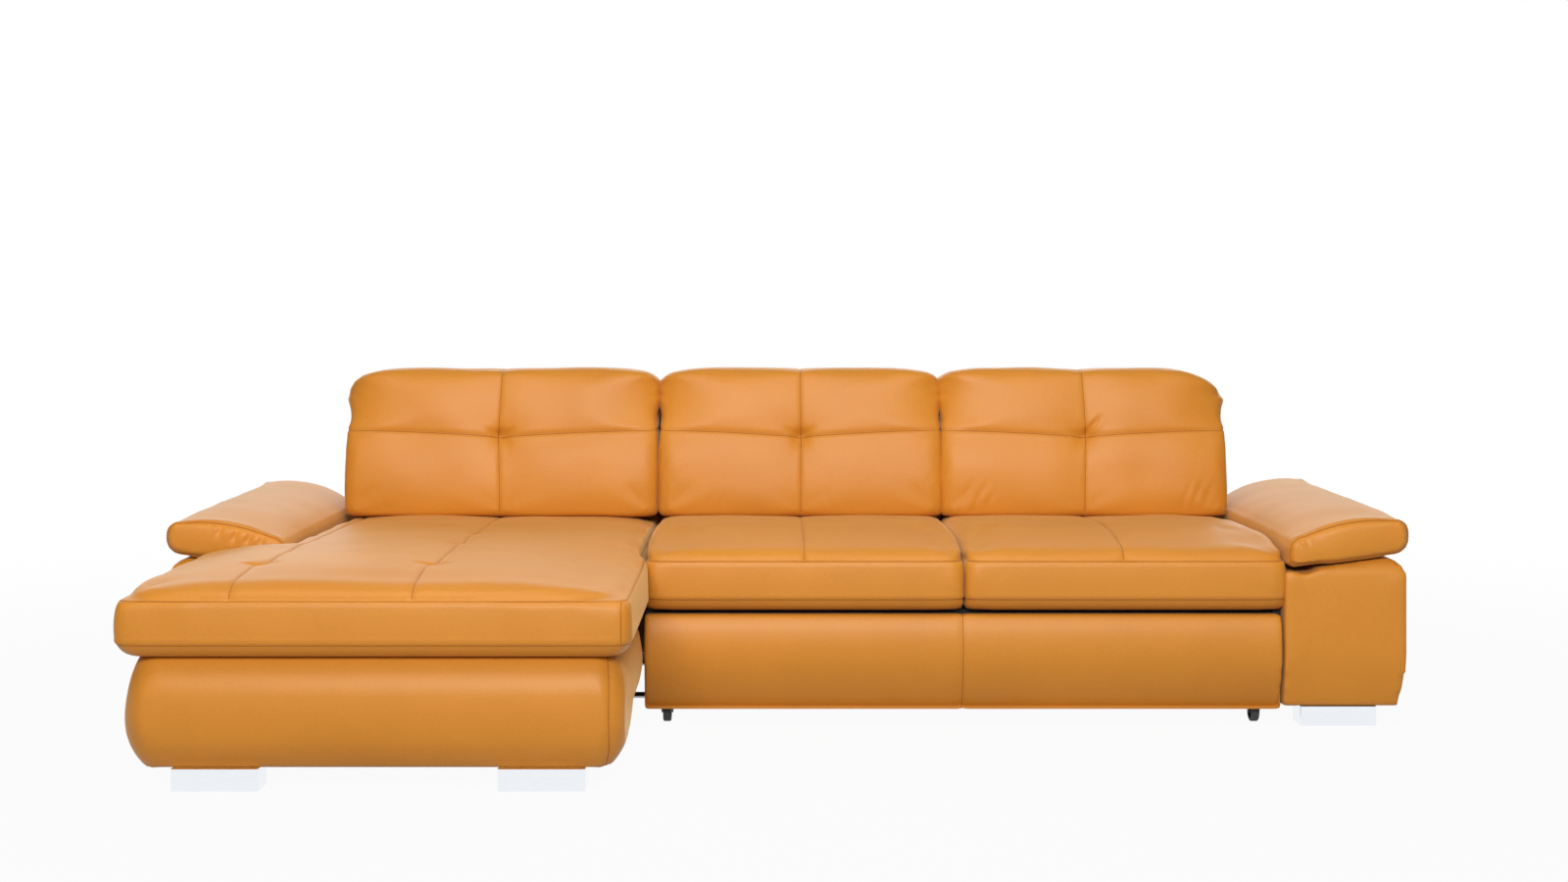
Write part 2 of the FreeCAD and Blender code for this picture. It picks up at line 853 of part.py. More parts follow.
def pad_section(y, inset):
    """Arm pad cut at y: its inner top turns about the pivot, inset draws the outline in."""
    rise = pad_rear_rise * (y - pad_front) / (pad_rear - pad_front)
    outer = arm_outer + pad_overhang - inset
    inner = arm_inner + pad_overhang + inset
    radius = pad_pivot_radius - inset
    under = pad_inner_bottom + inset
    corner = pad_corner_radius
    inner_low = (inner, under + corner)
    corner_end = (inner + corner, under + corner * slope)
    under_outer = (outer - 34, under + (outer - 34 - inner) * slope)
    nose = (outer, under_outer[1] + 34)
    crown_end = (outer - pad_edge_round, nose[1] + pad_edge_height + rise - 1.2 * inset)
    top = (pivot_x, pivot_z + radius)
    inner_high = (inner, pivot_z)
    return outline(
        along(y),
        corner_end,
        [
            (bow(corner_end, inner_low, 4), inner_low),
            (inner_high,),
            (polar(pivot, radius, 135), top),
            (bow(top, crown_end, pad_crown - 0.4 * inset), crown_end),
            (bow(crown_end, nose, 8), nose),
            (bow(nose, under_outer, 9), under_outer),
            (corner_end,),
        ],
    )


def arm_pad():
    """Right pad, with room for its hinges and the board it is built on."""
    stations = end_stations(pad_rear - pad_front, pad_end_run)
    pad = loft([pad_section(pad_front + run, pad_end_inset * share) for run, share in stations])
    for y in arm_hinge_places():
        pad = pad.cut(arm_slot(y)).cut(arm_lever(y)).cut(arm_pin(y))
    return pad.cut(arm_pad_board())


board_inset = 40.0
pad_board_thickness = 9.0


def arm_pad_board():
    """Board let into the pad's underside, clear of the hinge side."""
    x0 = pivot_x + arm_slot_radius + 6
    x1 = arm_outer - board_inset
    start = (x0, pad_under_z(x0))
    steps = [
        ((x1, pad_under_z(x1)),),
        ((x1, pad_under_z(x1) + pad_board_thickness),),
        ((x0, pad_under_z(x0) + pad_board_thickness),),
        (start,),
    ]
    length = pad_rear - pad_front - 2 * board_inset
    return prism(along(pad_front + board_inset), start, steps, Vector(0, length, 0))


arm_hinge_inset = 170.0
arm_lever_reach = 165.0
arm_fixed_angle = 325.0
arm_slot_radius = 72.0
arm_ear_radius = 14.0


def arm_hinge_places():
    return (pad_front + arm_hinge_inset, pad_rear - arm_hinge_inset)


def rod(y0, y1, centre, radius):
    """Round plate or hole along Y about an (x, z) centre."""
    return Part.makeCylinder(radius, y1 - y0, Vector(centre[0], y0, centre[1]), Y_AXIS)


def arm_fixed_lever(y):
    """Ear at the pivot, an arm over the trough and a foot plate on the arm's sloping top."""
    y1 = y + lever_thickness
    near = polar(pivot, arm_ear_radius - 3, arm_fixed_angle - 90)
    far = polar(pivot, arm_ear_radius - 3, arm_fixed_angle + 90)
    toe_x = pivot_x + 50
    heel_x = toe_x + 18
    toe = (toe_x, pad_under_z(toe_x) - pad_lift)
    heel = (heel_x, pad_under_z(heel_x) - pad_lift)
    arm = prism(along(y), near, [(toe,), (heel,), (far,), (near,)], Vector(0, lever_thickness, 0))
    plate_end_x = toe_x + foot_plate_length
    plate_end = (plate_end_x, pad_under_z(plate_end_x) - pad_lift)
    plate_steps = [
        (plate_end,),
        ((plate_end[0], plate_end[1] + foot_plate_thickness),),
        ((toe[0], toe[1] + foot_plate_thickness),),
        (toe,),
    ]
    plate_y = y + lever_thickness / 2 - foot_plate_width / 2
    plate = prism(along(plate_y), toe, plate_steps, Vector(0, foot_plate_width, 0))
    lever = rod(y, y1, pivot, arm_ear_radius).fuse(arm).fuse(plate)
    return lever.cut(rod(y - 1, y1 + 1, pivot, pin_radius + pin_running_gap)).removeSplitter()


def arm_lever(y):
    """Plain lever beside the fixed one, running out inside the pad."""
    y0 = y + lever_thickness + lever_gap
    bar = Part.makeBox(
        arm_lever_reach, lever_thickness, lever_height, Vector(pivot_x, y0, pivot_z - lever_height / 2)
    )
    bar.rotate(Vector(pivot_x, y0, pivot_z), Y_AXIS, -pad_slope)
    lever = rod(y0, y0 + lever_thickness, pivot, arm_ear_radius).fuse(bar)
    return lever.cut(rod(y0 - 1, y0 + lever_thickness + 1, pivot, pin_radius)).removeSplitter()


def arm_pin(y):
    y0 = y - 2.5
    y1 = y + 2 * lever_thickness + lever_gap
    pin = rod(y0, y1, pivot, pin_radius)
    for head_y in (y0, y1):
        pin = pin.fuse(rod(head_y, head_y + 2, pivot, pin_radius + 3))
    return pin.removeSplitter()


def arm_slot(y):
    """Room in the pad for the fixed lever over the whole turn."""
    y0 = y - slot_side_gap
    push = Vector(0, lever_thickness + slot_side_gap, 0)
    angles = (arm_fixed_angle - pad_open, arm_fixed_angle)
    slot = turning_slot(along(y0), pivot, arm_slot_radius, slot_half, angles, push)
    barrel = rod(y0, y0 + push.y, pivot, arm_ear_radius + 1)
    head = rod(y - 3.5, y, pivot, pin_radius + 3.5)
    return slot.fuse(barrel).fuse(head)


# Feet: wide chrome skids in front, black cones elsewhere
skid_width = 178.0
skid_depth = 80.0
skid_wall = 4.0
skid_round = 6.0
skid_setback = 18.0
skid_left_inset = 90.0
skid_right_inset = 73.0
arm_skid_inset = 41.0
arm_skid_setback = 24.0
cone_top = 25.0
rear_foot_inset = 70.0
end_foot_inset = 45.0
arm_foot_inset = 80.0
arm_foot_setback = 90.0
side_foot_setback = 340.0
cone_foot = 20.0


def skid(x, y):
    """Chrome foot with a closed front, top and cheeks, open below and behind."""
    outer = Part.makeBox(skid_width, skid_depth, foot_height, Vector(x, y, 0))
    uprights = [edge for edge in outer.Edges if is_upright(edge) and edge.BoundBox.YMin < y + 1]
    outer = outer.makeFillet(skid_round, uprights)
    inner_right = x + skid_width - skid_wall
    inner = box(x + skid_wall, inner_right, y + skid_wall, y + skid_depth + 1, -1, foot_height - skid_wall)
    return outer.cut(inner)


def is_upright(edge):
    return edge.BoundBox.ZLength > 1 and edge.BoundBox.XLength < 0.1 and edge.BoundBox.YLength < 0.1


def cone(x, y):
    return Part.makeCone(cone_foot, cone_top, foot_height, Vector(x, y, 0))


def black_feet():
    back_y = rear - rear_foot_inset
    return [
        cone(chaise_left + end_foot_inset, back_y),
        cone(chaise_right - end_foot_inset, back_y),
        cone(sofa_left + end_foot_inset, back_y),
        cone(sofa_right - end_foot_inset, back_y),
        cone(-arm_outer + arm_foot_inset, sofa_front + arm_foot_setback),
        cone(sofa_left + board / 2, sofa_front + side_foot_setback),
    ]


# Bed drawer: padded front, box sides, slats and mattress, on two front castors and rear glides
drawer_back = sofa_front + panel_depth + drawer_depth
channel_height = 34.0
channel_wall = 2.0
channel_width = 8.0
channel_z = 120.0
side_gap = 10.0
drawer_side = 16.0
drawer_wall_top = 205.0
panel_top_inset = 5.0
panel_groove = 3.0
drawer_left = sofa_left + board + side_gap
drawer_right = sofa_right - board - side_gap
slat_thickness = 10.0
slat_width = 60.0
bed_rail_height = 14.0
mattress_gap = 14.0
mattress_top = 226.0
mattress_crown = 4.0


def bed_front_panel():
    """Padded drawer front with one upright seam."""
    left = sofa_left
    right = sofa_right - panel_gap
    back = (sofa_front + panel_depth, foot_height)
    foot = (sofa_front + arm_front_tuck, foot_height)
    bulge = (sofa_front, tuck_height)
    top = (sofa_front + panel_top_inset, panel_top)
    panel = prism(
        across(left),
        back,
        [
            (foot,),
            (bow(foot, bulge, 7), bulge),
            (bow(bulge, top, 1.5), top),
            ((back[0], panel_top),),
            (back,),
        ],
        Vector(right - left, 0, 0),
    )
    groove = Part.makeCylinder(panel_groove, panel_top, Vector(sofa_middle, sofa_front, 0), Z_AXIS)
    return panel.cut(groove)


def bed_frame():
    front = sofa_front + panel_depth
    left_inner = drawer_left + drawer_side
    right_inner = drawer_right - drawer_side
    return {
        "bed_left_side": box(drawer_left, left_inner, front, drawer_back, drawer_floor, drawer_wall_top),
        "bed_right_side": box(right_inner, drawer_right, front, drawer_back, drawer_floor, drawer_wall_top),
        "bed_rear_board": box(
            left_inner, right_inner, drawer_back - drawer_side, drawer_back, drawer_floor, drawer_wall_top
        ),
    }


bed_rail_left = drawer_left + drawer_side + 6.0
bed_rail_right = drawer_right - drawer_side - 6.0
bed_rail_z = drawer_floor + 6.0


def bed_rails():
    """Two cross rails that carry the slats."""
    front = sofa_front + panel_depth + 20
    back = drawer_back - drawer_side - 50
    top = bed_rail_z + bed_rail_height
    return [
        box(bed_rail_left, bed_rail_right, front, front + 30, bed_rail_z, top),
        box(bed_rail_left, bed_rail_right, back, back + 30, bed_rail_z, top),
    ]


def bed_slats():
    slats = []
    pitch = 118.0
    bottom = bed_rail_z + bed_rail_height
    front = sofa_front + panel_depth + 12
    back = drawer_back - drawer_side - 12
    count = int((bed_rail_right - bed_rail_left - slat_width) / pitch) + 1
    first = sofa_middle - ((count - 1) * pitch + slat_width) / 2
    for number in range(count):
        x = first + number * pitch
        slats.append(box(x, x + slat_width, front, back, bottom, bottom + slat_thickness))
    return slats


def mattress_section(x, inset):
    bottom = bed_rail_z + bed_rail_height + slat_thickness
    front = sofa_front + panel_depth + 6 + inset
    back = drawer_back - drawer_side - 6 - inset
    start = (back, bottom + inset)
    low = (front, bottom + inset)
    high = (front, mattress_top - 12 - inset)
    high_back = (back, mattress_top - 12 - inset)
    over = (front + 14, mattress_top - inset)
    over_back = (back - 14, mattress_top - inset)
    return outline(
        across(x),
        start,
        [
            (low,),
            (bow(low, high, 3), high),
            (bow(high, over, 4), over),
            (bow(over, over_back, mattress_crown), over_back),
            (bow(over_back, high_back, 4), high_back),
            (bow(high_back, start, 3), start),
        ],
    )


def bed_mattress():
    left = bed_rail_left + mattress_gap
    right = bed_rail_right - mattress_gap
    wires = [
        mattress_section(left, 8),
        mattress_section(left + 12, 0),
        mattress_section(right - 12, 0),
        mattress_section(right, 8),
    ]
    return Part.makeLoft(wires, True, True)


lift_arm_length = 300.0
lift_arm_thickness = 4.0
lift_arm_height = 22.0


def bed_lift_arms():
    """Flat steel arms lying folded along the drawer sides, pinned to side and cross rail."""
    arms = []
    z = bed_rail_z + bed_rail_height / 2
    for inner, side in ((drawer_left + drawer_side, 1), (drawer_right - drawer_side, -1)):
        for y in (sofa_front + panel_depth + 35, drawer_back - drawer_side - 35):
            length = lift_arm_length if y < 0 else -lift_arm_length
            x0 = inner if side > 0 else inner - lift_arm_thickness
            x1 = x0 + lift_arm_thickness
            near = (y, z)
            far = (y + length, z + 34)
            arms.append(lift_arm(x0, x1, near, far, side))
    return arms


def lift_arm(x0, x1, near, far, side):
    half = lift_arm_height / 2
    first, last = (near, far) if near[0] < far[0] else (far, near)
    start = (first[0], first[1] - half)
    bar = prism(
        across(x0),
        start,
        [
            ((last[0], last[1] - half),),
            ((last[0] + half, last[1]), (last[0], last[1] + half)),
            ((first[0], first[1] + half),),
            ((first[0] - half, first[1]), start),
        ],
        Vector(x1 - x0, 0, 0),
    )
    boss_x = x1 if side > 0 else x0 - 2
    return bar.fuse(disc(boss_x, boss_x + 2, near, 6)).removeSplitter()


def runner_channels():
    """C-shaped steel channels on the frame sides, open towards the drawer."""
    channels = []
    front = sofa_front + panel_depth + slide_gap + 6
    for wall, side in ((sofa_left + board, 1), (sofa_right - board, -1)):
        x0, x1 = sorted((wall, wall + side * channel_width))
        outer = box(x0, x1, front, shell_front - board - 2, channel_z, channel_z + channel_height)
        hollow_x = sorted((wall + side * channel_wall, wall + side * (channel_width + 1)))
        hollow = box(
            hollow_x[0],
            hollow_x[1],
            front - 1,
            shell_front - board - 2 - channel_wall,
            channel_z + channel_wall,
            channel_z + channel_height - channel_wall,
        )
        channels.append(outer.cut(hollow))
    return channels


def runner_glides():
    """Nylon blocks at the rear of the drawer sides that slide in the channels."""
    glides = []
    clear = 0.3
    z0 = channel_z + channel_wall + clear
    z1 = channel_z + channel_height - channel_wall - clear
    for face, side in ((drawer_left, -1), (drawer_right, 1)):
        reach = side_gap - channel_wall - clear
        x0, x1 = sorted((face, face + side * reach))
        glides.append(box(x0, x1, drawer_back - 110, drawer_back - 10, z0, z1))
    return glides


castor_y = sofa_front + castor_back
castor_places = (sofa_left + castor_inset, sofa_right - panel_gap - castor_inset)
fork_wall = 2.5
fork_gap = 1.5
fork_reach = 32.0
axle_head = 1.0
axle_radius = 4.0


def castor_fork(x):
    """Fixed castor housing: a top plate and two cheeks with the axle's holes."""
    half = wheel_width / 2 + fork_gap
    top = drawer_floor
    plate_half = half + fork_wall + 4
    back = castor_y + fork_reach
    fork = box(x - plate_half, x + plate_half, castor_y - fork_reach, back, top - 4, top)
    for side in (-1, 1):
        x0, x1 = sorted((x + side * half, x + side * (half + fork_wall)))
        low = (castor_y, wheel_radius - 10)
        start = (castor_y - 22, top - 4)
        cheek = prism(
            across(x0),
            start,
            [
                ((castor_y + 22, top - 4),),
                ((castor_y + 10, wheel_radius),),
                (low, (castor_y - 10, wheel_radius)),
                (start,),
            ],
            Vector(x1 - x0, 0, 0),
        )
        fork = fork.fuse(cheek)
    return fork.cut(disc(x - 40, x + 40, (castor_y, wheel_radius), axle_radius)).removeSplitter()


def castor_axle(x):
    reach = wheel_width / 2 + fork_gap + fork_wall
    centre = (castor_y, wheel_radius)
    axle = disc(x - reach, x + reach, centre, axle_radius)
    for head_x in (x - reach - axle_head, x + reach):
        axle = axle.fuse(disc(head_x, head_x + axle_head, centre, axle_radius + 2.5))
    return axle.removeSplitter()


def castor_wheel(x):
    """Wheel turned about its axle: a round tread, a hub and a dished web."""
    half = wheel_width / 2
    bore = axle_radius + pin_running_gap
    edge = 4.0
    rim = wheel_radius - 7
    hub = 9.0
    start = (x - half, bore)
    steps = [
        ((x - half, hub),),
        ((x - half + 6, hub + 2),),
        ((x - half + 6, rim - 2),),
        ((x - half, rim),),
        ((x - half, wheel_radius - edge),),
        (polar((x - half + edge, wheel_radius - edge), edge, 135), (x - half + edge, wheel_radius)),
        ((x + half - edge, wheel_radius),),
        (polar((x + half - edge, wheel_radius - edge), edge, 45), (x + half, wheel_radius - edge)),
        ((x + half, rim),),
        ((x + half - 6, rim - 2),),
        ((x + half - 6, hub + 2),),
        ((x + half, hub),),
        ((x + half, bore),),
        (start,),
    ]
    face = Part.Face(outline(lambda a, r: Vector(a, castor_y, wheel_radius + r), start, steps))
    return face.revolve(Vector(x, castor_y, wheel_radius), X_AXIS, 360)


def module_connectors():
    """Steel plates under the frames that hold the two halves together."""
    return [
        box(frame_right - board, sofa_left + board, y, y + 60, foot_height - 4, foot_height)
        for y in (sofa_front + 160, shell_front - 180)
    ]


def seat_places():
    middle = sofa_middle
    return {"middle": (sofa_left, middle), "right": (middle, sofa_right)}


def build_headrests():
    places = {"left": (chaise_left, chaise_right)}
    places.update(seat_places())
    fixed = []
    for name, (left, right) in places.items():
        hinges = (left + hinge_inset, right - hinge_inset - 2 * lever_thickness)
        cushion = back_cushion(left, right)
        for x in hinges:
            cushion = cushion.cut(lever_notch(x))
            fixed.append(headrest_fixed_lever(x))
        save("back_cushion_" + name, cushion)
        save("headrest_" + name, headrest_pad(left, right, hinges))
        save("headrest_levers_" + name, [headrest_lever(x) for x in hinges])
        save("headrest_rivets_" + name, [headrest_pin(x) for x in hinges])
    save("headrest_ratchets", fixed)


def build_arms():
    body = arm_body()
    pad = arm_pad()
    pad_board = arm_pad_board()
    places = arm_hinge_places()
    levers = [arm_lever(y) for y in places]
    rivets = [arm_pin(y) for y in places]
    fixed = [arm_fixed_lever(y) for y in places]
    save("right_arm_body", body)
    save("right_arm_pad", pad)
    save("right_pad_board", pad_board)
    save("right_pad_levers", levers)
    save("right_pad_rivets", rivets)
    save("left_arm_body", mirrored(body))
    save("left_arm_pad", mirrored(pad))
    save("left_pad_board", mirrored(pad_board))
    save("left_pad_levers", [mirrored(piece) for piece in levers])
    save("left_pad_rivets", [mirrored(piece) for piece in rivets])
    save("pad_hinge_feet", fixed + [mirrored(piece) for piece in fixed])


def build_seats():
    for name, (left, right) in seat_places().items():
        save("seat_cushion_" + name, seat_cushion(left, right))
    save("chaise_cushion", chaise_cushion())


def build_frames():
    save("chaise_front_panel", chaise_front_panel())
    save("chaise_left_panel", chaise_side_panel(base_left, -1))
    save("chaise_right_panel", chaise_side_panel(base_right, 1))
    for name, rail in chaise_rails().items():
        save(name, rail)
    for name, rail in sofa_frame().items():
        save(name, rail)
    save("seat_straps", chaise_straps() + sofa_straps())
    save("chaise_back_shell", back_shell(chaise_left, chaise_right))
    save("sofa_back_shell", back_shell(sofa_left, sofa_right))
    save("module_connectors", module_connectors())
    skid_y = chaise_front + skid_setback
    save("chaise_foot_left", skid(base_left + skid_left_inset, skid_y))
    save("chaise_foot_right", skid(base_right - skid_right_inset - skid_width, skid_y))
    save("arm_foot_right", skid(arm_inner + arm_skid_inset, sofa_front + arm_skid_setback))
    save("black_feet", black_feet())


def build_bed():
    save("bed_front_panel", bed_front_panel())
    for name, piece in bed_frame().items():
        save(name, piece)
    save("bed_slat_base", bed_rails() + bed_slats())
    save("bed_mattress", bed_mattress())
    save("bed_lift_arms", bed_lift_arms())
    save("runner_channels", runner_channels())
    save("runner_glides", runner_glides())
    save("castor_forks", [castor_fork(x) for x in castor_places])
    save("castor_axles", [castor_axle(x) for x in castor_places])
    for side, x in zip(("left", "right"), castor_places):
        save("castor_wheel_" + side, castor_wheel(x))


os.makedirs("parts", exist_ok=True)
build_frames()
build_seats()
build_headrests()
build_arms()
build_bed()
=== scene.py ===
import json
import math

import bmesh
import bpy
import numpy as np
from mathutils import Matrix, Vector


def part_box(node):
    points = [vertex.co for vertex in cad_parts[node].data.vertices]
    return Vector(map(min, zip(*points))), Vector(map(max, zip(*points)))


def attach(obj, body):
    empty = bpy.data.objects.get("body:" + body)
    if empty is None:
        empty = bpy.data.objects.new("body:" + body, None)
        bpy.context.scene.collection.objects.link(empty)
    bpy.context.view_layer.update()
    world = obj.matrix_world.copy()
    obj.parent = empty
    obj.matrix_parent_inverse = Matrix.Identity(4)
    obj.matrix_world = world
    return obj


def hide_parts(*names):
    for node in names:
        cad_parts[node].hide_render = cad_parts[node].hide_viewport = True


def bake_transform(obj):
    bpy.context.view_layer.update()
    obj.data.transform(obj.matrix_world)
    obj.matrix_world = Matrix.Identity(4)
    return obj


# Corner sofa in cognac leather. Metres, +X to the right seen from the front, +Y to the back
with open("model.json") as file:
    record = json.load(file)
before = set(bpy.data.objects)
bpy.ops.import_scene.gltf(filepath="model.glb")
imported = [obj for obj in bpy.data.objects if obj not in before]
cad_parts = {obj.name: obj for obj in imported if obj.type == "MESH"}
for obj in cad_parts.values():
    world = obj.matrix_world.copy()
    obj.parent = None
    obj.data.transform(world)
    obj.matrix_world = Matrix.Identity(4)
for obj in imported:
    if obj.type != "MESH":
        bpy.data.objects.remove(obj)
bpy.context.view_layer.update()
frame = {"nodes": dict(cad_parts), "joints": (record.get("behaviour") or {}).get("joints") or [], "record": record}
scene = bpy.context.scene
print("frame loaded")


# Mesh helpers

def newPiece(name, mesh):
    piece = bpy.data.objects.new(name, mesh)
    scene.collection.objects.link(piece)
    return piece


def removePiece(piece):
    mesh = piece.data
    bpy.data.objects.remove(piece)
    if mesh.users == 0:
        bpy.data.meshes.remove(mesh)


def evaluatedMesh(piece):
    graph = bpy.context.evaluated_depsgraph_get()
    return bpy.data.meshes.new_from_object(piece.evaluated_get(graph), depsgraph=graph)


def pointsOf(mesh):
    flat = np.empty(len(mesh.vertices) * 3)
    mesh.vertices.foreach_get("co", flat)
    return flat.reshape(-1, 3)


def setPoints(mesh, points):
    mesh.vertices.foreach_set("co", np.asarray(points, np.float32).ravel())
    mesh.update()


def normalsOf(mesh):
    flat = np.empty(len(mesh.vertices) * 3)
    mesh.vertex_normals.foreach_get("vector", flat)
    return flat.reshape(-1, 3)


def weldedMesh(nodes, grow=None):
    # the solids of some nodes as one mesh; grow enlarges a node about a centre in Y and Z
    work = bmesh.new()
    for node in nodes:
        part = frame["nodes"][node].data.copy()
        if grow and node in grow:
            centre, factor = grow[node]
            points = pointsOf(part)
            points[:, 1:] = centre + (points[:, 1:] - centre) * factor
            setPoints(part, points)
        work.from_mesh(part)
        bpy.data.meshes.remove(part)
    bmesh.ops.remove_doubles(work, verts=work.verts, dist=0.00002)
    mesh = bpy.data.meshes.new("welded")
    work.to_mesh(mesh)
    work.free()
    return mesh


def relax(mesh, points, share, rounds, axes=(0, 1, 2)):
    # evens out the part of a mesh where share is above 0
    edges = np.empty(len(mesh.edges) * 2, int)
    mesh.edges.foreach_get("vertices", edges)
    edges = edges.reshape(-1, 2)
    edges = edges[(share[edges[:, 0]] > 0) | (share[edges[:, 1]] > 0)]
    first, second = edges[:, 0], edges[:, 1]
    total = len(points)
    neighbours = np.maximum(np.bincount(edges.ravel(), minlength=total), 1)
    for _ in range(rounds):
        for axis in axes:
            column = points[:, axis]
            mean = np.bincount(first, column[second], total) + np.bincount(second, column[first], total)
            points[:, axis] += share * (mean / neighbours - column)


def softMesh(nodes, voxel, smoothing, swell=0.0, grow=None):
    # rounded skin over the CAD solids; swell makes up for what the rounding takes off
    work = newPiece("work", weldedMesh(nodes, grow))
    voxels = work.modifiers.new("voxels", "REMESH")
    voxels.mode = "VOXEL"
    voxels.voxel_size = voxel
    soften = work.modifiers.new("soften", "SMOOTH")
    soften.factor = 0.5
    soften.iterations = smoothing
    mesh = evaluatedMesh(work)
    removePiece(work)
    # broad faces lose the facets of the solid beneath
    points = pointsOf(mesh)
    normals = normalsOf(mesh)
    flat = np.clip((np.abs(normals).max(axis=1) - 0.93) / 0.05, 0, 1)
    inset = np.sort(np.minimum(points - points.min(axis=0), points.max(axis=0) - points), axis=1)[:, 1]
    relax(mesh, points, flat * np.clip((inset - 0.03) / 0.05, 0, 1), 60)
    setPoints(mesh, points + normals * swell)
    return mesh


def subdivided(mesh):
    work = newPiece("work", mesh)
    finer = work.modifiers.new("finer", "SUBSURF")
    finer.levels = finer.render_levels = 1
    result = evaluatedMesh(work)
    removePiece(work)
    return result


def stuffed(mesh, held, pressure, cap, frames=18):
    # blows the cover up as cloth between its held seams, by no more than cap
    piece = newPiece("stuffed", mesh)
    group = piece.vertex_groups.new(name="held")
    group.add([int(i) for i in np.flatnonzero(held)], 1.0, "REPLACE")
    cloth = piece.modifiers.new("stuffing", "CLOTH")
    settings = cloth.settings
    settings.quality = 5
    settings.mass = 0.4
    settings.tension_stiffness = 25
    settings.compression_stiffness = 25
    settings.shear_stiffness = 10
    settings.bending_stiffness = 2
    settings.vertex_group_mass = "held"
    settings.use_pressure = True
    settings.uniform_pressure_force = pressure
    settings.effector_weights.gravity = 0
    cloth.point_cache.frame_start = 1
    cloth.point_cache.frame_end = frames
    rest = pointsOf(mesh)
    for number in range(1, frames + 1):
        scene.frame_set(number)
    swollen = evaluatedMesh(piece)
    move = pointsOf(swollen) - rest
    bpy.data.meshes.remove(swollen)
    length = np.linalg.norm(move, axis=1)
    move *= (cap * np.tanh(length / cap) / np.maximum(length, 1e-9))[:, None]
    plain = mesh.copy()
    removePiece(piece)
    setPoints(plain, rest + move)
    scene.frame_set(1)
    return plain


# Seams, folds and tufts

def bell(distance, width):
    return np.exp(-((distance / width) ** 2))


def step(value, start, end):
    share = np.clip((value - start) / (end - start), 0, 1)
    return share * share * (3 - 2 * share)


def together(first, second):
    # signed distance to the nearer of two seams
    return first * second / (np.abs(first) + np.abs(second) + 1e-9)


def gather(points, axis, distance, reach, share=1.0):
    # draws points within reach of a seam towards it, so that the groove stays narrow
    inside = np.abs(distance) < reach
    drawn = distance * np.abs(distance) / reach
    points[:, axis] += np.where(inside, (drawn - distance) * share, 0.0)


def pathDistance(places, path):
    best = np.full(len(places), 9.0)
    along = np.zeros(len(places))
    path = np.asarray(path, float)
    lengths = np.linalg.norm(np.diff(path, axis=0), axis=1)
    passed = 0.0
    for start, end, length in zip(path[:-1], path[1:], lengths):
        way = (end - start) / length
        share = np.clip((places - start) @ way, 0, length)
        distance = np.linalg.norm(places - start - share[:, None] * way, axis=1)
        near = distance < best
        best = np.where(near, distance, best)
        along = np.where(near, (passed + share) / lengths.sum(), along)
        passed += length
    return best, along


def fold(points, normals, axes, where, path, depth, width):
    # a crease drawn in the plane of two axes, with a raised lip beside it, fading at its ends
    places = points[:, axes]
    low = np.min(path, axis=0) - 4 * width
    high = np.max(path, axis=0) + 4 * width
    near = np.flatnonzero(where & np.all((places > low) & (places < high), axis=1))
    if len(near) == 0:
        return
    distance, along = pathDistance(places[near], path)
    ends = np.sin(np.pi * np.clip(along, 0.03, 0.97)) ** 0.7
    shape = -bell(distance, width) + 0.4 * bell(distance - 2.0 * width, width)
    points[near] += normals[near] * (depth * shape * ends)[:, None]


def waves(points, length, seed):
    # slow uneven swell of the filling, from a few crossed waves
    numbers = np.random.default_rng(seed)
    total = np.zeros(len(points))
    for _ in range(9):
        way = numbers.normal(size=3)
        way /= np.linalg.norm(way)
        waveLength = length * numbers.uniform(0.7, 1.6)
        total += np.sin(points @ way * 2 * math.pi / waveLength + numbers.uniform(0, 6.3))
    return total / 3


def fullEdges(points, low, high, top, bottom, rise, undercut, sides):
    # the filling stands up quickly behind each sewn edge, and the cushion draws in below its lower seam
    above = step(points[:, 2], top, top + 0.006)
    edge = points[:, 1] - low.y
    if "left" in sides:
        edge = np.minimum(edge, points[:, 0] - low.x + 0.01)
    if "right" in sides:
        edge = np.minimum(edge, high.x - points[:, 0] + 0.01)
    points[:, 2] += rise * bell(edge - 0.050, 0.045) * above
    below = np.clip((bottom - points[:, 2]) / (bottom - low.z), 0, 1)
    near = 1 - step(points[:, 1], low.y + 0.03, low.y + 0.10)
    points[:, 1] += undercut * below * near
    if "left" in sides:
        points[:, 0] += undercut * below * (1 - step(points[:, 0], low.x + 0.03, low.x + 0.10))
    if "right" in sides:
        points[:, 0] -= undercut * below * step(points[:, 0], high.x - 0.10, high.x - 0.03)


def saveSeams(mesh, across=None, along=None, third=None):
    # signed distances to three families of seams, with the share to which each one shows
    count = len(mesh.vertices)
    distances = np.ones((count, 3))
    shown = np.zeros((count, 3))
    for column, family in enumerate((across, along, third)):
        if family is not None:
            distances[:, column] = family[0]
            shown[:, column] = family[1]
    for name, values in (("seamDistance", distances), ("seamShown", shown)):
        attribute = mesh.attributes.new(name, "FLOAT_VECTOR", "POINT")
        attribute.data.foreach_set("vector", values.astype(np.float32).ravel())


def finished(name, mesh, material, body, nodes):
    for polygon in mesh.polygons:
        polygon.use_smooth = True
    mesh.materials.clear()
    mesh.materials.append(material)
    piece = newPiece(name, mesh)
    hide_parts(*nodes)
    if body:
        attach(piece, body)
    return piece


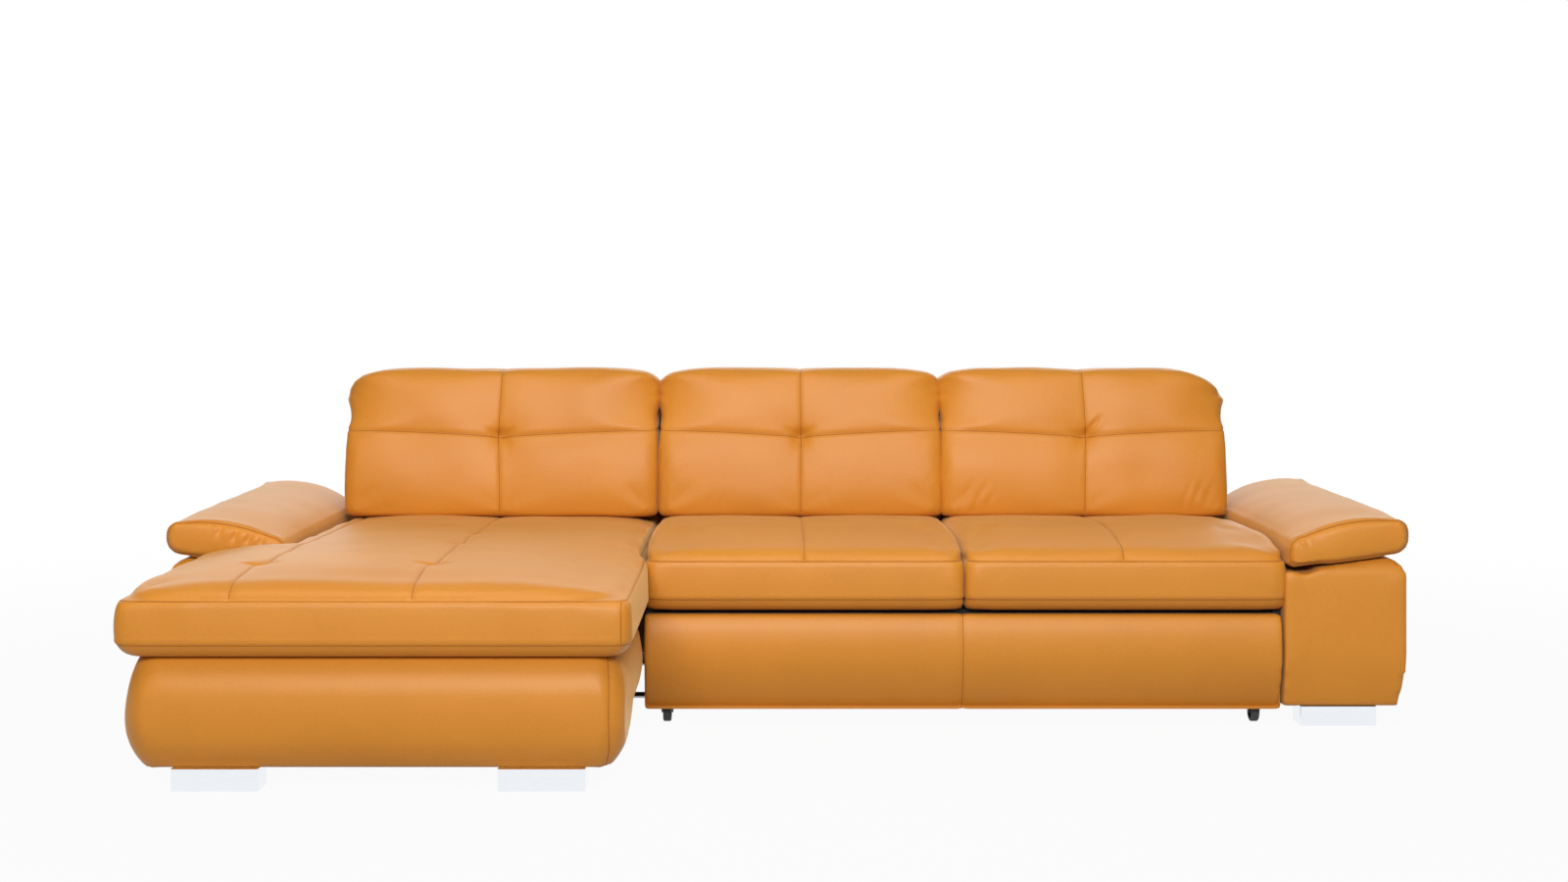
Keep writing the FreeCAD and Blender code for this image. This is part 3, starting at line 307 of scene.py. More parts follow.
def contour(mesh, value, shown, level, lift):
    # the line on a surface where value passes level, as points and the edges between them
    values = np.asarray(value)
    points, normals = pointsOf(mesh), normalsOf(mesh)
    places, links, found = [], [], {}
    close = np.abs(values - level) < 0.03
    for polygon in mesh.polygons:
        ids = list(polygon.vertices)
        if not close[ids[0]]:
            continue
        crossed = []
        for one, other in zip(ids, ids[1:] + ids[:1]):
            if (values[one] > level) == (values[other] > level) or abs(values[one] - values[other]) > 0.02:
                continue
            key = (min(one, other), max(one, other))
            if key not in found:
                share = (level - values[key[0]]) / (values[key[1]] - values[key[0]])
                if shown[key[0]] + (shown[key[1]] - shown[key[0]]) * share < 0.5:
                    continue
                spot = points[key[0]] + (points[key[1]] - points[key[0]]) * share
                found[key] = len(places)
                places.append(spot + normals[key[0]] * lift)
            crossed.append(found[key])
        if len(crossed) == 2:
            links.append(tuple(crossed))
    return places, links


# Node tree helpers

def linkNodes(tree, *pairs):
    for source, target in pairs:
        tree.links.new(source, target)


def addNode(tree, kind, **settings):
    node = tree.nodes.new(kind)
    for key, value in settings.items():
        if key == "inputs":
            for socket, setting in value.items():
                node.inputs[socket].default_value = setting
        else:
            setattr(node, key, value)
    return node


stitchLook = {"spacing": 0.0066, "length": 0.0044, "thread": 0.00055, "lift": 0.0002}
seamHold = 0.006  # half the strip that cloth is held along at a seam


def stitchTree():
    # threads laid end to end along the edges of a line mesh
    tree = bpy.data.node_groups.new("stitchRow", "GeometryNodeTree")
    for name, kind in (
        ("Geometry", "NodeSocketGeometry"),
        ("Spacing", "NodeSocketFloat"),
        ("Length", "NodeSocketFloat"),
        ("Thread", "NodeSocketFloat"),
        ("Material", "NodeSocketMaterial"),
    ):
        tree.interface.new_socket(name, in_out="INPUT", socket_type=kind)
    tree.interface.new_socket("Geometry", in_out="OUTPUT", socket_type="NodeSocketGeometry")
    given = addNode(tree, "NodeGroupInput")
    result = addNode(tree, "NodeGroupOutput")
    curve = addNode(tree, "GeometryNodeMeshToCurve")
    spots = addNode(tree, "GeometryNodeCurveToPoints", mode="LENGTH")
    turn = addNode(tree, "FunctionNodeAlignRotationToVector", axis="Z")
    stitch = addNode(tree, "GeometryNodeMeshUVSphere", inputs={"Segments": 5, "Rings": 3, "Radius": 1.0})
    half = addNode(tree, "ShaderNodeMath", operation="MULTIPLY")
    half.inputs[1].default_value = 0.5
    size = addNode(tree, "ShaderNodeCombineXYZ")
    laid = addNode(tree, "GeometryNodeInstanceOnPoints")
    real = addNode(tree, "GeometryNodeRealizeInstances")
    painted = addNode(tree, "GeometryNodeSetMaterial")
    linkNodes(
        tree,
        (given.outputs["Geometry"], curve.inputs["Mesh"]),
        (curve.outputs["Curve"], spots.inputs["Curve"]),
        (given.outputs["Spacing"], spots.inputs["Length"]),
        (spots.outputs["Tangent"], turn.inputs["Vector"]),
        (given.outputs["Length"], half.inputs[0]),
        (given.outputs["Thread"], size.inputs["X"]),
        (given.outputs["Thread"], size.inputs["Y"]),
        (half.outputs[0], size.inputs["Z"]),
        (spots.outputs["Points"], laid.inputs["Points"]),
        (stitch.outputs["Mesh"], laid.inputs["Instance"]),
        (turn.outputs["Rotation"], laid.inputs["Rotation"]),
        (size.outputs["Vector"], laid.inputs["Scale"]),
        (laid.outputs["Instances"], real.inputs["Geometry"]),
        (real.outputs["Geometry"], painted.inputs["Geometry"]),
        (given.outputs["Material"], painted.inputs["Material"]),
        (painted.outputs["Geometry"], result.inputs["Geometry"]),
    )
    return tree


def stitched(name, mesh, rows, body):
    # rows: value, where it shows, and its level, for each line of thread
    places, links = [], []
    for value, shown, level in rows:
        more, edges = contour(mesh, value, shown, level, stitchLook["lift"])
        links += [(one + len(places), other + len(places)) for one, other in edges]
        places += more
    lines = bpy.data.meshes.new(name + "Lines")
    lines.from_pydata(places, links, [])
    helper = newPiece(name + "Lines", lines)
    modifier = helper.modifiers.new("stitches", "NODES")
    modifier.node_group = stitchRows
    inputs = [item for item in stitchRows.interface.items_tree if item.in_out == "INPUT"]
    sockets = {item.name: item.identifier for item in inputs}
    modifier[sockets["Spacing"]] = stitchLook["spacing"]
    modifier[sockets["Length"]] = stitchLook["length"]
    modifier[sockets["Thread"]] = stitchLook["thread"]
    modifier[sockets["Material"]] = thread
    threads = evaluatedMesh(helper)
    helper.modifiers.clear()
    removePiece(helper)
    for polygon in threads.polygons:
        polygon.use_smooth = True
    piece = newPiece(name, threads)
    if body:
        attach(piece, body)
    return piece


leatherLook = {
    "colour": (0.61, 0.230, 0.022, 1),
    "deepColour": (0.52, 0.190, 0.018, 1),
    "seamColour": (0.36, 0.112, 0.008, 1),
    "roughness": 0.46,
    "seamCore": 0.0003,
    "seamWidth": 0.0018,
    "seamDepth": 0.0006,
    "grainCells": 520,
    "grainDepth": 0.00012,
    "finish": {
        "IOR": 1.5,
        "Specular IOR Level": 0.30,
        "Coat Weight": 0.06,
        "Coat Roughness": 0.35,
        "Sheen Weight": 0.42,
        "Sheen Roughness": 0.35,
        "Sheen Tint": (1.0, 0.70, 0.34, 1),
    },
}


def leatherMaterial(name, look):
    material = bpy.data.materials.new(name)
    material.use_nodes = True
    tree = material.node_tree
    tree.nodes.clear()
    output = addNode(tree, "ShaderNodeOutputMaterial")
    shader = addNode(tree, "ShaderNodeBsdfPrincipled", inputs=look["finish"])
    place = addNode(tree, "ShaderNodeTexCoord")
    tone = addNode(tree, "ShaderNodeTexNoise", inputs={"Scale": 3.0, "Detail": 4.0, "Roughness": 0.6})
    toneLimits = {"From Min": 0.35, "From Max": 0.7, "To Min": 0.0, "To Max": 0.55}
    toneRange = addNode(tree, "ShaderNodeMapRange", inputs=toneLimits)
    tint = addNode(tree, "ShaderNodeMix", data_type="RGBA")
    tint.inputs[6].default_value = look["colour"]
    tint.inputs[7].default_value = look["deepColour"]
    fine = addNode(tree, "ShaderNodeTexNoise", inputs={"Scale": 160.0, "Detail": 3.0})
    fineMix = addNode(tree, "ShaderNodeMix", data_type="RGBA", blend_type="MULTIPLY")
    fineMix.inputs["Factor"].default_value = 1.0
    fineRange = addNode(tree, "ShaderNodeMapRange", inputs={"To Min": 0.93, "To Max": 1.06})
    distances = addNode(tree, "ShaderNodeAttribute", attribute_name="seamDistance")
    shown = addNode(tree, "ShaderNodeAttribute", attribute_name="seamShown")
    size = addNode(tree, "ShaderNodeVectorMath", operation="ABSOLUTE")
    line = addNode(tree, "ShaderNodeMapRange", data_type="FLOAT_VECTOR", interpolation_type="SMOOTHSTEP")
    line.inputs[7].default_value = (look["seamCore"],) * 3
    line.inputs[8].default_value = (look["seamWidth"],) * 3
    line.inputs[9].default_value = (1, 1, 1)
    line.inputs[10].default_value = (0, 0, 0)
    masked = addNode(tree, "ShaderNodeVectorMath", operation="MULTIPLY")
    parts = addNode(tree, "ShaderNodeSeparateXYZ")
    firstMax = addNode(tree, "ShaderNodeMath", operation="MAXIMUM")
    seam = addNode(tree, "ShaderNodeMath", operation="MAXIMUM")
    seamMix = addNode(tree, "ShaderNodeMix", data_type="RGBA")
    seamMix.inputs[7].default_value = look["seamColour"]
    cellLimits = {"Scale": look["grainCells"], "Smoothness": 0.4}
    cells = addNode(tree, "ShaderNodeTexVoronoi", feature="SMOOTH_F1", inputs=cellLimits)
    pores = addNode(tree, "ShaderNodeTexNoise", inputs={"Scale": 900.0, "Detail": 2.0})
    grain = addNode(tree, "ShaderNodeMath", operation="ADD")
    grainBump = addNode(tree, "ShaderNodeBump", inputs={"Strength": 0.5, "Distance": look["grainDepth"]})
    seamRelief = {"Strength": 0.35, "Distance": look["seamDepth"]}
    seamBump = addNode(tree, "ShaderNodeBump", invert=True, inputs=seamRelief)
    seamGloss = addNode(tree, "ShaderNodeMapRange", inputs={"To Min": 0.0, "To Max": 0.4})
    matt = addNode(tree, "ShaderNodeMath", operation="ADD")
    glossLimits = {"To Min": look["roughness"] - 0.05, "To Max": look["roughness"] + 0.07}
    gloss = addNode(tree, "ShaderNodeMapRange", inputs=glossLimits)
    linkNodes(
        tree,
        (place.outputs["Object"], tone.inputs["Vector"]),
        (place.outputs["Object"], fine.inputs["Vector"]),
        (place.outputs["Object"], cells.inputs["Vector"]),
        (place.outputs["Object"], pores.inputs["Vector"]),
        (tone.outputs["Fac"], toneRange.inputs["Value"]),
        (toneRange.outputs["Result"], tint.inputs["Factor"]),
        (fine.outputs["Fac"], fineRange.inputs["Value"]),
        (tint.outputs[2], fineMix.inputs[6]),
        (fineRange.outputs["Result"], fineMix.inputs[7]),
        (distances.outputs["Vector"], size.inputs[0]),
        (size.outputs["Vector"], line.inputs[6]),
        (line.outputs[1], masked.inputs[0]),
        (shown.outputs["Vector"], masked.inputs[1]),
        (masked.outputs["Vector"], parts.inputs[0]),
        (parts.outputs["X"], firstMax.inputs[0]),
        (parts.outputs["Y"], firstMax.inputs[1]),
        (firstMax.outputs[0], seam.inputs[0]),
        (parts.outputs["Z"], seam.inputs[1]),
        (seam.outputs[0], seamMix.inputs["Factor"]),
        (fineMix.outputs[2], seamMix.inputs[6]),
        (seamMix.outputs[2], shader.inputs["Base Color"]),
        (cells.outputs["Distance"], grain.inputs[0]),
        (pores.outputs["Fac"], grain.inputs[1]),
        (grain.outputs[0], grainBump.inputs["Height"]),
        (seam.outputs[0], seamBump.inputs["Height"]),
        (grainBump.outputs["Normal"], seamBump.inputs["Normal"]),
        (seamBump.outputs["Normal"], shader.inputs["Normal"]),
        (fine.outputs["Fac"], gloss.inputs["Value"]),
        (seam.outputs[0], seamGloss.inputs["Value"]),
        (gloss.outputs["Result"], matt.inputs[0]),
        (seamGloss.outputs["Result"], matt.inputs[1]),
        (matt.outputs[0], shader.inputs["Roughness"]),
        (shader.outputs["BSDF"], output.inputs["Surface"]),
    )
    return material


def plainMaterial(
    name, colour, roughness, metallic=0.0, scale=200.0, stretch=(1, 1, 1), contrast=0.15, bump=0.0001
):
    # one finish with its own grain: noise stretched along the stock, in the colour, the gloss and the relief
    material = bpy.data.materials.new(name)
    material.use_nodes = True
    tree = material.node_tree
    shader = tree.nodes["Principled BSDF"]
    shader.inputs["Metallic"].default_value = metallic
    place = addNode(tree, "ShaderNodeTexCoord")
    mapping = addNode(tree, "ShaderNodeMapping", inputs={"Scale": stretch})
    grain = addNode(tree, "ShaderNodeTexNoise", inputs={"Scale": scale, "Detail": 5.0, "Roughness": 0.6})
    tint = addNode(tree, "ShaderNodeMix", data_type="RGBA")
    tint.inputs[6].default_value = tuple(part * (1 - contrast) for part in colour) + (1,)
    tint.inputs[7].default_value = tuple(min(part * (1 + contrast), 1) for part in colour) + (1,)
    glossLimits = {"To Min": roughness * 0.85, "To Max": roughness * 1.15}
    gloss = addNode(tree, "ShaderNodeMapRange", inputs=glossLimits)
    relief = addNode(tree, "ShaderNodeBump", inputs={"Strength": 0.6, "Distance": bump})
    linkNodes(
        tree,
        (place.outputs["Object"], mapping.inputs["Vector"]),
        (mapping.outputs["Vector"], grain.inputs["Vector"]),
        (grain.outputs["Fac"], tint.inputs["Factor"]),
        (grain.outputs["Fac"], gloss.inputs["Value"]),
        (grain.outputs["Fac"], relief.inputs["Height"]),
        (tint.outputs[2], shader.inputs["Base Color"]),
        (gloss.outputs["Result"], shader.inputs["Roughness"]),
        (relief.outputs["Normal"], shader.inputs["Normal"]),
    )
    return material


leather = leatherMaterial("cognacLeather", leatherLook)
thread = plainMaterial("waxedThread", (0.50, 0.20, 0.035), 0.55, scale=1500.0, contrast=0.25)
stitchRows = stitchTree()
print("leather ready")

# Places shared by the pieces, read from the frame
jointPlaces = {joint["name"]: joint.get("pos_m") for joint in frame["joints"]}
hinge = np.array(jointPlaces["headrest_middle_tilt"][1:])

# Back cushions, each one cover with its headrest
backLook = {
    "voxel": 0.010,
    "smoothing": 3,
    "swell": 0.002,
    "pressure": 3.0,
    "cap": 0.006,
    "cover": (0.656, 0.792),
    "sideFill": 0.012,
    "cornerRun": (0.115, 0.150),
    "cornerFall": {"left": (0.020, 0.004), "middle": (0.006, 0.004), "right": (0.002, 0.040)},
    "tuftFolds": {
        "left": (((-0.012, 0.004), (-0.046, 0.022), 0.0022), ((0.012, 0.006), (0.034, 0.022), 0.0018)),
        "middle": (((-0.012, 0.005), (-0.040, 0.024), 0.0022), ((0.012, 0.005), (0.038, 0.026), 0.0024)),
        "right": (((0.008, 0.006), (0.048, 0.052), 0.0042), ((-0.012, 0.004), (-0.036, 0.016), 0.0020)),
    },
    "lowFolds": {
        "left": (
            (0.020, 0.065, 0.012, 0.0010),
            (0.045, 0.055, 0.018, 0.0010),
            (-0.300, 0.050, -0.020, 0.0009),
        ),
        "middle": (
            (-0.245, 0.070, 0.022, 0.0014),
            (-0.215, 0.055, 0.018, 0.0011),
            (0.085, 0.055, -0.020, 0.0010),
            (0.120, 0.050, -0.016, 0.0010),
        ),
        "right": (
            (-0.322, 0.085, 0.030, 0.0022),
            (-0.290, 0.080, 0.034, 0.0024),
            (-0.258, 0.060, 0.026, 0.0018),
            (0.255, 0.080, 0.028, 0.0018),
            (0.282, 0.090, 0.034, 0.0022),
            (0.312, 0.080, 0.032, 0.0018),
            (0.020, 0.045, 0.010, 0.0010),
        ),
    },
    "widen": {"left": (0.009, 0.007), "middle": (0.007, 0.007), "right": (0.007, 0.014)},
    "bendStart": (0.6053, 0.6976),
    "bendEnd": (0.6212, 0.7276),
    "crossHeight": 0.650,
    "crossSag": 0.017,
    "grooveDepth": 0.0024,
    "grooveWidth": 0.0045,
    "gather": 0.015,
    "valley": 0.0008,
    "valleyWidth": (0.028, 0.030),
    "tuftDepth": 0.009,
    "tuftWidth": 0.020,
    "foldWidth": 0.006,
    "lowFoldWidth": 0.007,
    "lowFoldStart": 0.012,
    "waveDepth": 0.0011,
    "waveLength": 0.16,
    "notchDepth": 0.003,
    "stitchSide": 0.0045,
}
backSeamShift = {"left": -0.010, "middle": 0.002, "right": 0.010}


def backCushion(place):
    look = backLook
    nodes = ["back_cushion_" + place, "headrest_" + place]
    low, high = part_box(nodes[0])
    middle = (low.x + high.x) / 2
    half = (high.x - low.x) / 2
    mesh = softMesh(nodes, look["voxel"], look["smoothing"], look["swell"], {nodes[1]: (hinge, 1.03)})

    def seamX(points):
        bend = bell(points[:, 2] - look["crossHeight"], 0.12) * backSeamShift[place] * 0.6
        return points[:, 0] - middle - backSeamShift[place] * 0.3 - bend

    def seamZ(points):
        share = np.clip(np.abs(points[:, 0] - middle) / half, 0, 1)
        return points[:, 2] - look["crossHeight"] + look["crossSag"] * (1 - share) ** 1.7

    points = pointsOf(mesh)
    # the front runs on over the hinge: the crease where the pad rolls is evened out
    start, end = look["cover"]
    onFront = 1 - step(points[:, 1], hinge[0] - 0.010, hinge[0] + 0.015)
    share = step(points[:, 2], start, start + 0.015) * (1 - step(points[:, 2], end - 0.015, end)) * onFront
    relax(mesh, points, share, 160, (1, 2))
    relax(mesh, points, share, 25, (0,))
    wide = (points[:, 0] - middle) / half
    points[:, 0] += np.where(wide < 0, wide * look["widen"][place][0], wide * look["widen"][place][1])
    # the top falls away towards its corners, most at the sofa's ends
    atHinge = bell(points[:, 2] - hinge[1] + 0.008, 0.040) * step(np.abs(wide), 0.80, 0.98)
    points[:, 0] += np.sign(wide) * look["sideFill"] * atHinge
    fall = np.where(wide < 0, look["cornerFall"][place][0], look["cornerFall"][place][1])
    shortRun, longRun = look["cornerRun"]
    run = np.where(wide < 0, shortRun, longRun if place == "right" else shortRun)
    away = np.clip((np.abs(wide) * half - half + run) / run, 0, 1)
    points[:, 2] -= fall * away ** 2 * step(points[:, 2], hinge[1] - 0.04, hinge[1] + 0.05)
    setPoints(mesh, points)
    front = points[:, 1] < low.y + 0.115
    held = (np.abs(seamX(points)) < seamHold) | (front & (np.abs(seamZ(points)) < seamHold))
    held |= (points[:, 2] < low.z + 0.008) | (points[:, 1] > high.y - 0.02)
    mesh = stuffed(mesh, held, look["pressure"], look["cap"])
    mesh = subdivided(mesh)
    points = pointsOf(mesh)
    normals = normalsOf(mesh)
    front = (normals[:, 1] < -0.2) & (points[:, 2] < hinge[1])
    gather(points, 0, seamX(points), look["gather"])
    gather(points, 2, np.where(front, seamZ(points), 1.0), look["gather"])
    across = seamX(points)
    cross = seamZ(points)
    upper = step(points[:, 2], low.z, low.z + 0.02)
    crossShown = np.where((normals[:, 1] < 0.3) & (points[:, 2] < hinge[1]), 1.0, 0.0)
    groove = bell(across, look["grooveWidth"]) * upper + bell(cross, look["grooveWidth"]) * crossShown
    acrossWidth, crossWidth = look["valleyWidth"]
    valley = bell(across, acrossWidth) + bell(cross, crossWidth) * crossShown
    points -= normals * (look["grooveDepth"] * np.minimum(groove, 1.2) + look["valley"] * valley)[:, None]
    tuft = np.hypot(across, cross)
    points -= normals * (look["tuftDepth"] * bell(tuft, look["tuftWidth"]) * crossShown)[:, None]
    facing = normals[:, 1] < -0.5
    knot = np.array((middle, look["crossHeight"] - look["crossSag"]))
    for start, end, depth in look["tuftFolds"][place]:
        fold(points, normals, (0, 2), facing, (knot + start, knot + end), depth, look["foldWidth"])
    # small creases that rise from the lower edge
    for x, height, drift, depth in look["lowFolds"][place]:
        footHeight = low.z + look["lowFoldStart"]
        foot = (middle + x, footHeight)
        bend = (middle + x + drift * 0.35, footHeight + height * 0.5)
        tip = (middle + x + drift, footHeight + height)
        fold(points, normals, (0, 2), facing, (foot, bend, tip), depth * 0.5, look["lowFoldWidth"])
    points += normals * (look["waveDepth"] * waves(points, look["waveLength"], len(place)))[:, None]
    # the ends tuck in where the headrest turns
    ends = half - np.abs(points[:, 0] - middle)
    notch = bell(points[:, 2] - hinge[1] + 0.004, 0.009) * (1 - step(ends, 0.0, 0.035))
    notch = notch * (points[:, 1] < hinge[0] + 0.03)
    points[:, 0] -= np.sign(points[:, 0] - middle) * look["notchDepth"] * notch
    setPoints(mesh, points)
    saveSeams(mesh, (across, upper), (cross, crossShown))
    sides = (-look["stitchSide"], look["stitchSide"])
    crossStitched = crossShown * step(np.abs(across), 0.002, 0.006)
    rows = [(across, upper, side) for side in sides]
    rows += [(cross, crossStitched, side) for side in sides]
    piece = finished("backCushion_" + place, mesh, leather, None, nodes)
    threads = stitched("backStitches_" + place, mesh, rows, None)
    for part in (piece, threads):
        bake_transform(part)


for place in ("left", "middle", "right"):
    backCushion(place)
print("back cushions ready")

# What the boxed cushions, the seats and the chaise, have in common
boxLook = {
    "smoothing": 3,
    "swell": 0.0015,
    "pressure": 3.0,
    "cap": 0.005,
    "topSeam": 0.387,
    "lowSeam": 0.297,
    "ridge": 0.0014,
    "ridgeLift": 0.0065,
    "ridgeWidth": 0.004,
    "rise": 0.008,
    "undercut": 0.014,
    "grooveWidth": 0.0045,
    "acrossGather": 0.015,
    "levelGather": 0.012,
    "waveDepth": 0.0012,
    "stitchSide": 0.004,
    "topStitch": 0.0065,
    "lowStitch": 0.0045,
}


def onTop(points):
    return step(points[:, 2], boxLook["topSeam"] - 0.001, boxLook["topSeam"] + 0.004)


def boxStuffed(mesh, points, low, high, topSeams):
    # the cover blown up between the seams on top, those around the box, the underside and the rear
    look = boxLook
    held = topSeams & (points[:, 2] > look["topSeam"])
    held |= np.abs(points[:, 2] - look["topSeam"]) < seamHold
    held |= np.abs(points[:, 2] - look["lowSeam"]) < seamHold
    held |= (points[:, 2] < low.z + seamHold) | (points[:, 1] > high.y - 0.02)
    return stuffed(mesh, held, look["pressure"], look["cap"])


def levelGathered(points):
    for height in (boxLook["topSeam"], boxLook["lowSeam"]):
        gather(points, 2, points[:, 2] - height, boxLook["levelGather"])


def boxGrooves(points, normals, across, depth):
    # the grooves of the seams; gives the distance to the level ones, and where those show
    look = boxLook
    level = together(points[:, 2] - look["topSeam"], points[:, 2] - look["lowSeam"])
    upright = 1 - step(np.abs(normals[:, 2]), 0.80, 0.95)
    groove = bell(across, look["grooveWidth"]) * onTop(points) + bell(level, look["grooveWidth"]) * upright
    points -= normals * (depth * np.minimum(groove, 1.2))[:, None]
    return level, upright


def boxFilled(points, normals, upright, waveLength, seed):
    # the ridge over the lower seam, and the uneven top
    look = boxLook
    ridge = bell(points[:, 2] - look["lowSeam"] - look["ridgeLift"], look["ridgeWidth"])
    points += normals * (look["ridge"] * ridge * upright)[:, None]
    points += normals * (look["waveDepth"] * waves(points, waveLength, seed) * onTop(points))[:, None]


def boxEdges(points, low, high, sides):
    look = boxLook
    fullEdges(points, low, high, look["topSeam"], look["lowSeam"], look["rise"], look["undercut"], sides)


def boxStitched(name, mesh, points, high, across, upright):
    look = boxLook
    visible = upright * (points[:, 1] < high.y - 0.1)
    height = points[:, 2]
    rows = [(across, onTop(points), side) for side in (-look["stitchSide"], look["stitchSide"])]
    rows.append((height, visible, look["topSeam"] + look["topStitch"]))
    rows.append((height, visible, look["lowSeam"] + look["lowStitch"]))
    stitched(name, mesh, rows, "root")


# Seat cushions
seatLook = {"voxel": 0.010, "grooveDepth": 0.0022, "waveLength": 0.17, "waveSeed": 5, "press": 0.007}


def seatCushion(place):
    look = seatLook
    node = "seat_cushion_" + place
    low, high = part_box(node)
    middle = (low.x + high.x) / 2
    mesh = softMesh([node], look["voxel"], boxLook["smoothing"], boxLook["swell"])
    points = pointsOf(mesh)
    mesh = boxStuffed(mesh, points, low, high, np.abs(points[:, 0] - middle) < seamHold)
    mesh = subdivided(mesh)
    points = pointsOf(mesh)
    normals = normalsOf(mesh)
    top = points[:, 2] > boxLook["topSeam"]
    gather(points, 0, np.where(top, points[:, 0] - middle, 1.0), boxLook["acrossGather"])
    levelGathered(points)
    across = points[:, 0] - middle
    level, upright = boxGrooves(points, normals, across, look["grooveDepth"])
    boxFilled(points, normals, upright, look["waveLength"], len(place) + look["waveSeed"])
    boxEdges(points, low, high, ())
    if place == "right":
        # the end seat presses against the arm in front
        beside = step(points[:, 0], high.x - 0.12, high.x)
        points[:, 0] += look["press"] * beside * (1 - step(points[:, 1], 0.0, 0.2))
    setPoints(mesh, points)
    saveSeams(mesh, (across, onTop(points)), (level, upright))
    piece = finished("seatCushion_" + place, mesh, leather, "root", [node])
    boxStitched("seatStitches_" + place, mesh, points, high, across, upright)


for place in ("middle", "right"):
    seatCushion(place)
print("seat cushions ready")

# Chaise cushion
chaiseLook = {
    "voxel": 0.0125,
    "grooveDepth": 0.0025,
    "waveLength": 0.2,
    "waveSeed": 3,
    "mainSeam": (-0.767, -0.752),
    "leftSeam": (-1.138, -1.112),
    "tufts": (-0.605, -0.210, 0.040),
    "tuftDepth": (0.007, 0.007, 0.003),
    "tuftWidth": 0.026,
    "foldReach": 0.050,
    "foldWidth": 0.007,
    "frontReach": -0.19,
    "rearFill": 0.016,
    "cornerInset": 0.022,
    "cornerDepth": 0.0014,
    "cornerWidth": 0.004,
}


def chaiseCushion():
    look = chaiseLook
    node = "chaise_cushion"
    low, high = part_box(node)
    topSeam, lowSeam = boxLook["topSeam"], boxLook["lowSeam"]
    seams = (look["mainSeam"], look["leftSeam"])
    mesh = softMesh([node], look["voxel"], boxLook["smoothing"], boxLook["swell"])
    points = pointsOf(mesh)

    def seamX(points, pair):
        turn = step(points[:, 1], look["tufts"][0] - 0.03, look["tufts"][0] + 0.03)
        return points[:, 0] - pair[0] - (pair[1] - pair[0]) * turn

    nearest = np.minimum(np.abs(seamX(points, seams[0])), np.abs(seamX(points, seams[1])))
    mesh = boxStuffed(mesh, points, low, high, nearest < seamHold)
    mesh = subdivided(mesh)
    points = pointsOf(mesh)
    normals = normalsOf(mesh)
    top = points[:, 2] > topSeam
    for pair in seams:
        gather(points, 0, np.where(top, seamX(points, pair), 1.0), boxLook["acrossGather"])
    levelGathered(points)
    across = together(seamX(points, seams[0]), seamX(points, seams[1]))
    level, upright = boxGrooves(points, normals, across, look["grooveDepth"])
    for pair in seams:
        for number, (reach, depth) in enumerate(zip(look["tufts"], look["tuftDepth"])):
            # the left seam has only the tuft nearest the front
            if pair is look["leftSeam"] and number > 0:
                continue
            middle = (pair[0] + pair[1]) / 2 if number == 0 else pair[1]
            away = np.hypot(points[:, 0] - middle, points[:, 1] - reach)
            points -= normals * (depth * bell(away, look["tuftWidth"]) * onTop(points))[:, None]
            left, right = middle - look["foldReach"], middle + look["foldReach"]
            path = ((left, reach + 0.003), (middle, reach), (right, reach + 0.004))
            fold(points, normals, (0, 1), top, path, depth * 0.6, look["foldWidth"])
    boxFilled(points, normals, upright, look["waveLength"], look["waveSeed"])
    # the end beside the back cushions keeps its height
    rear = step(points[:, 0], high.x - 0.30, high.x - 0.01) * step(points[:, 1], -0.35, 0.05)
    points[:, 2] += look["rearFill"] * rear * step(normals[:, 2], 0.0, 0.5)
    front = points[:, 1] < look["frontReach"]
    corner = points[:, 0] - high.x + look["cornerInset"]
    cornerShown = (normals[:, 1] < -0.3) * step(points[:, 2], lowSeam, lowSeam + 0.004)
    cornerShown *= 1 - step(points[:, 2], topSeam - 0.004, topSeam)
    cornerGroove = look["cornerDepth"] * bell(corner, look["cornerWidth"]) * cornerShown
    points -= normals * cornerGroove[:, None]
    part = points[front]
    boxEdges(part, low, high, ("left", "right"))
    points[front] = part
    setPoints(mesh, points)
    saveSeams(mesh, (across, onTop(points)), (level, upright), (corner, cornerShown))
    piece = finished("chaiseCushion", mesh, leather, "root", [node])
    boxStitched("chaiseStitches", mesh, points, high, across, upright)


chaiseCushion()
print("chaise cushion ready")

# Arm pads
padLook = {
    "voxel": 0.008,
    "smoothing": 1,
    "swell": 0.002,
    "crown": 0.005,
    "outerRise": {"left": 0.016, "right": 0.025},
    "innerRise": 0.003,
    "clearance": 0.005,
    "gathers": {
        "left": (
            (0.18, 0.022, 0.010, 0.0030),
            (0.28, 0.028, 0.014, 0.0036),
            (0.39, 0.030, 0.014, 0.0034),
            (0.52, 0.026, 0.012, 0.0028),
        ),
        "right": ((0.07, 0.018, -0.010, 0.0024), (0.13, 0.016, -0.010, 0.0020)),
    },
    "pressure": 3.0,
    "cap": 0.004,
    "seamInset": 0.009,
    "seamGather": 0.010,
    "grooveDepth": 0.0022,
    "grooveWidth": 0.0045,
    "foldWidth": 0.006,
    "foldDrop": 0.006,
    "waveDepth": 0.0005,
    "waveLength": 0.16,
    "waveSeed": 11,
    "stitchInset": 0.005,
}


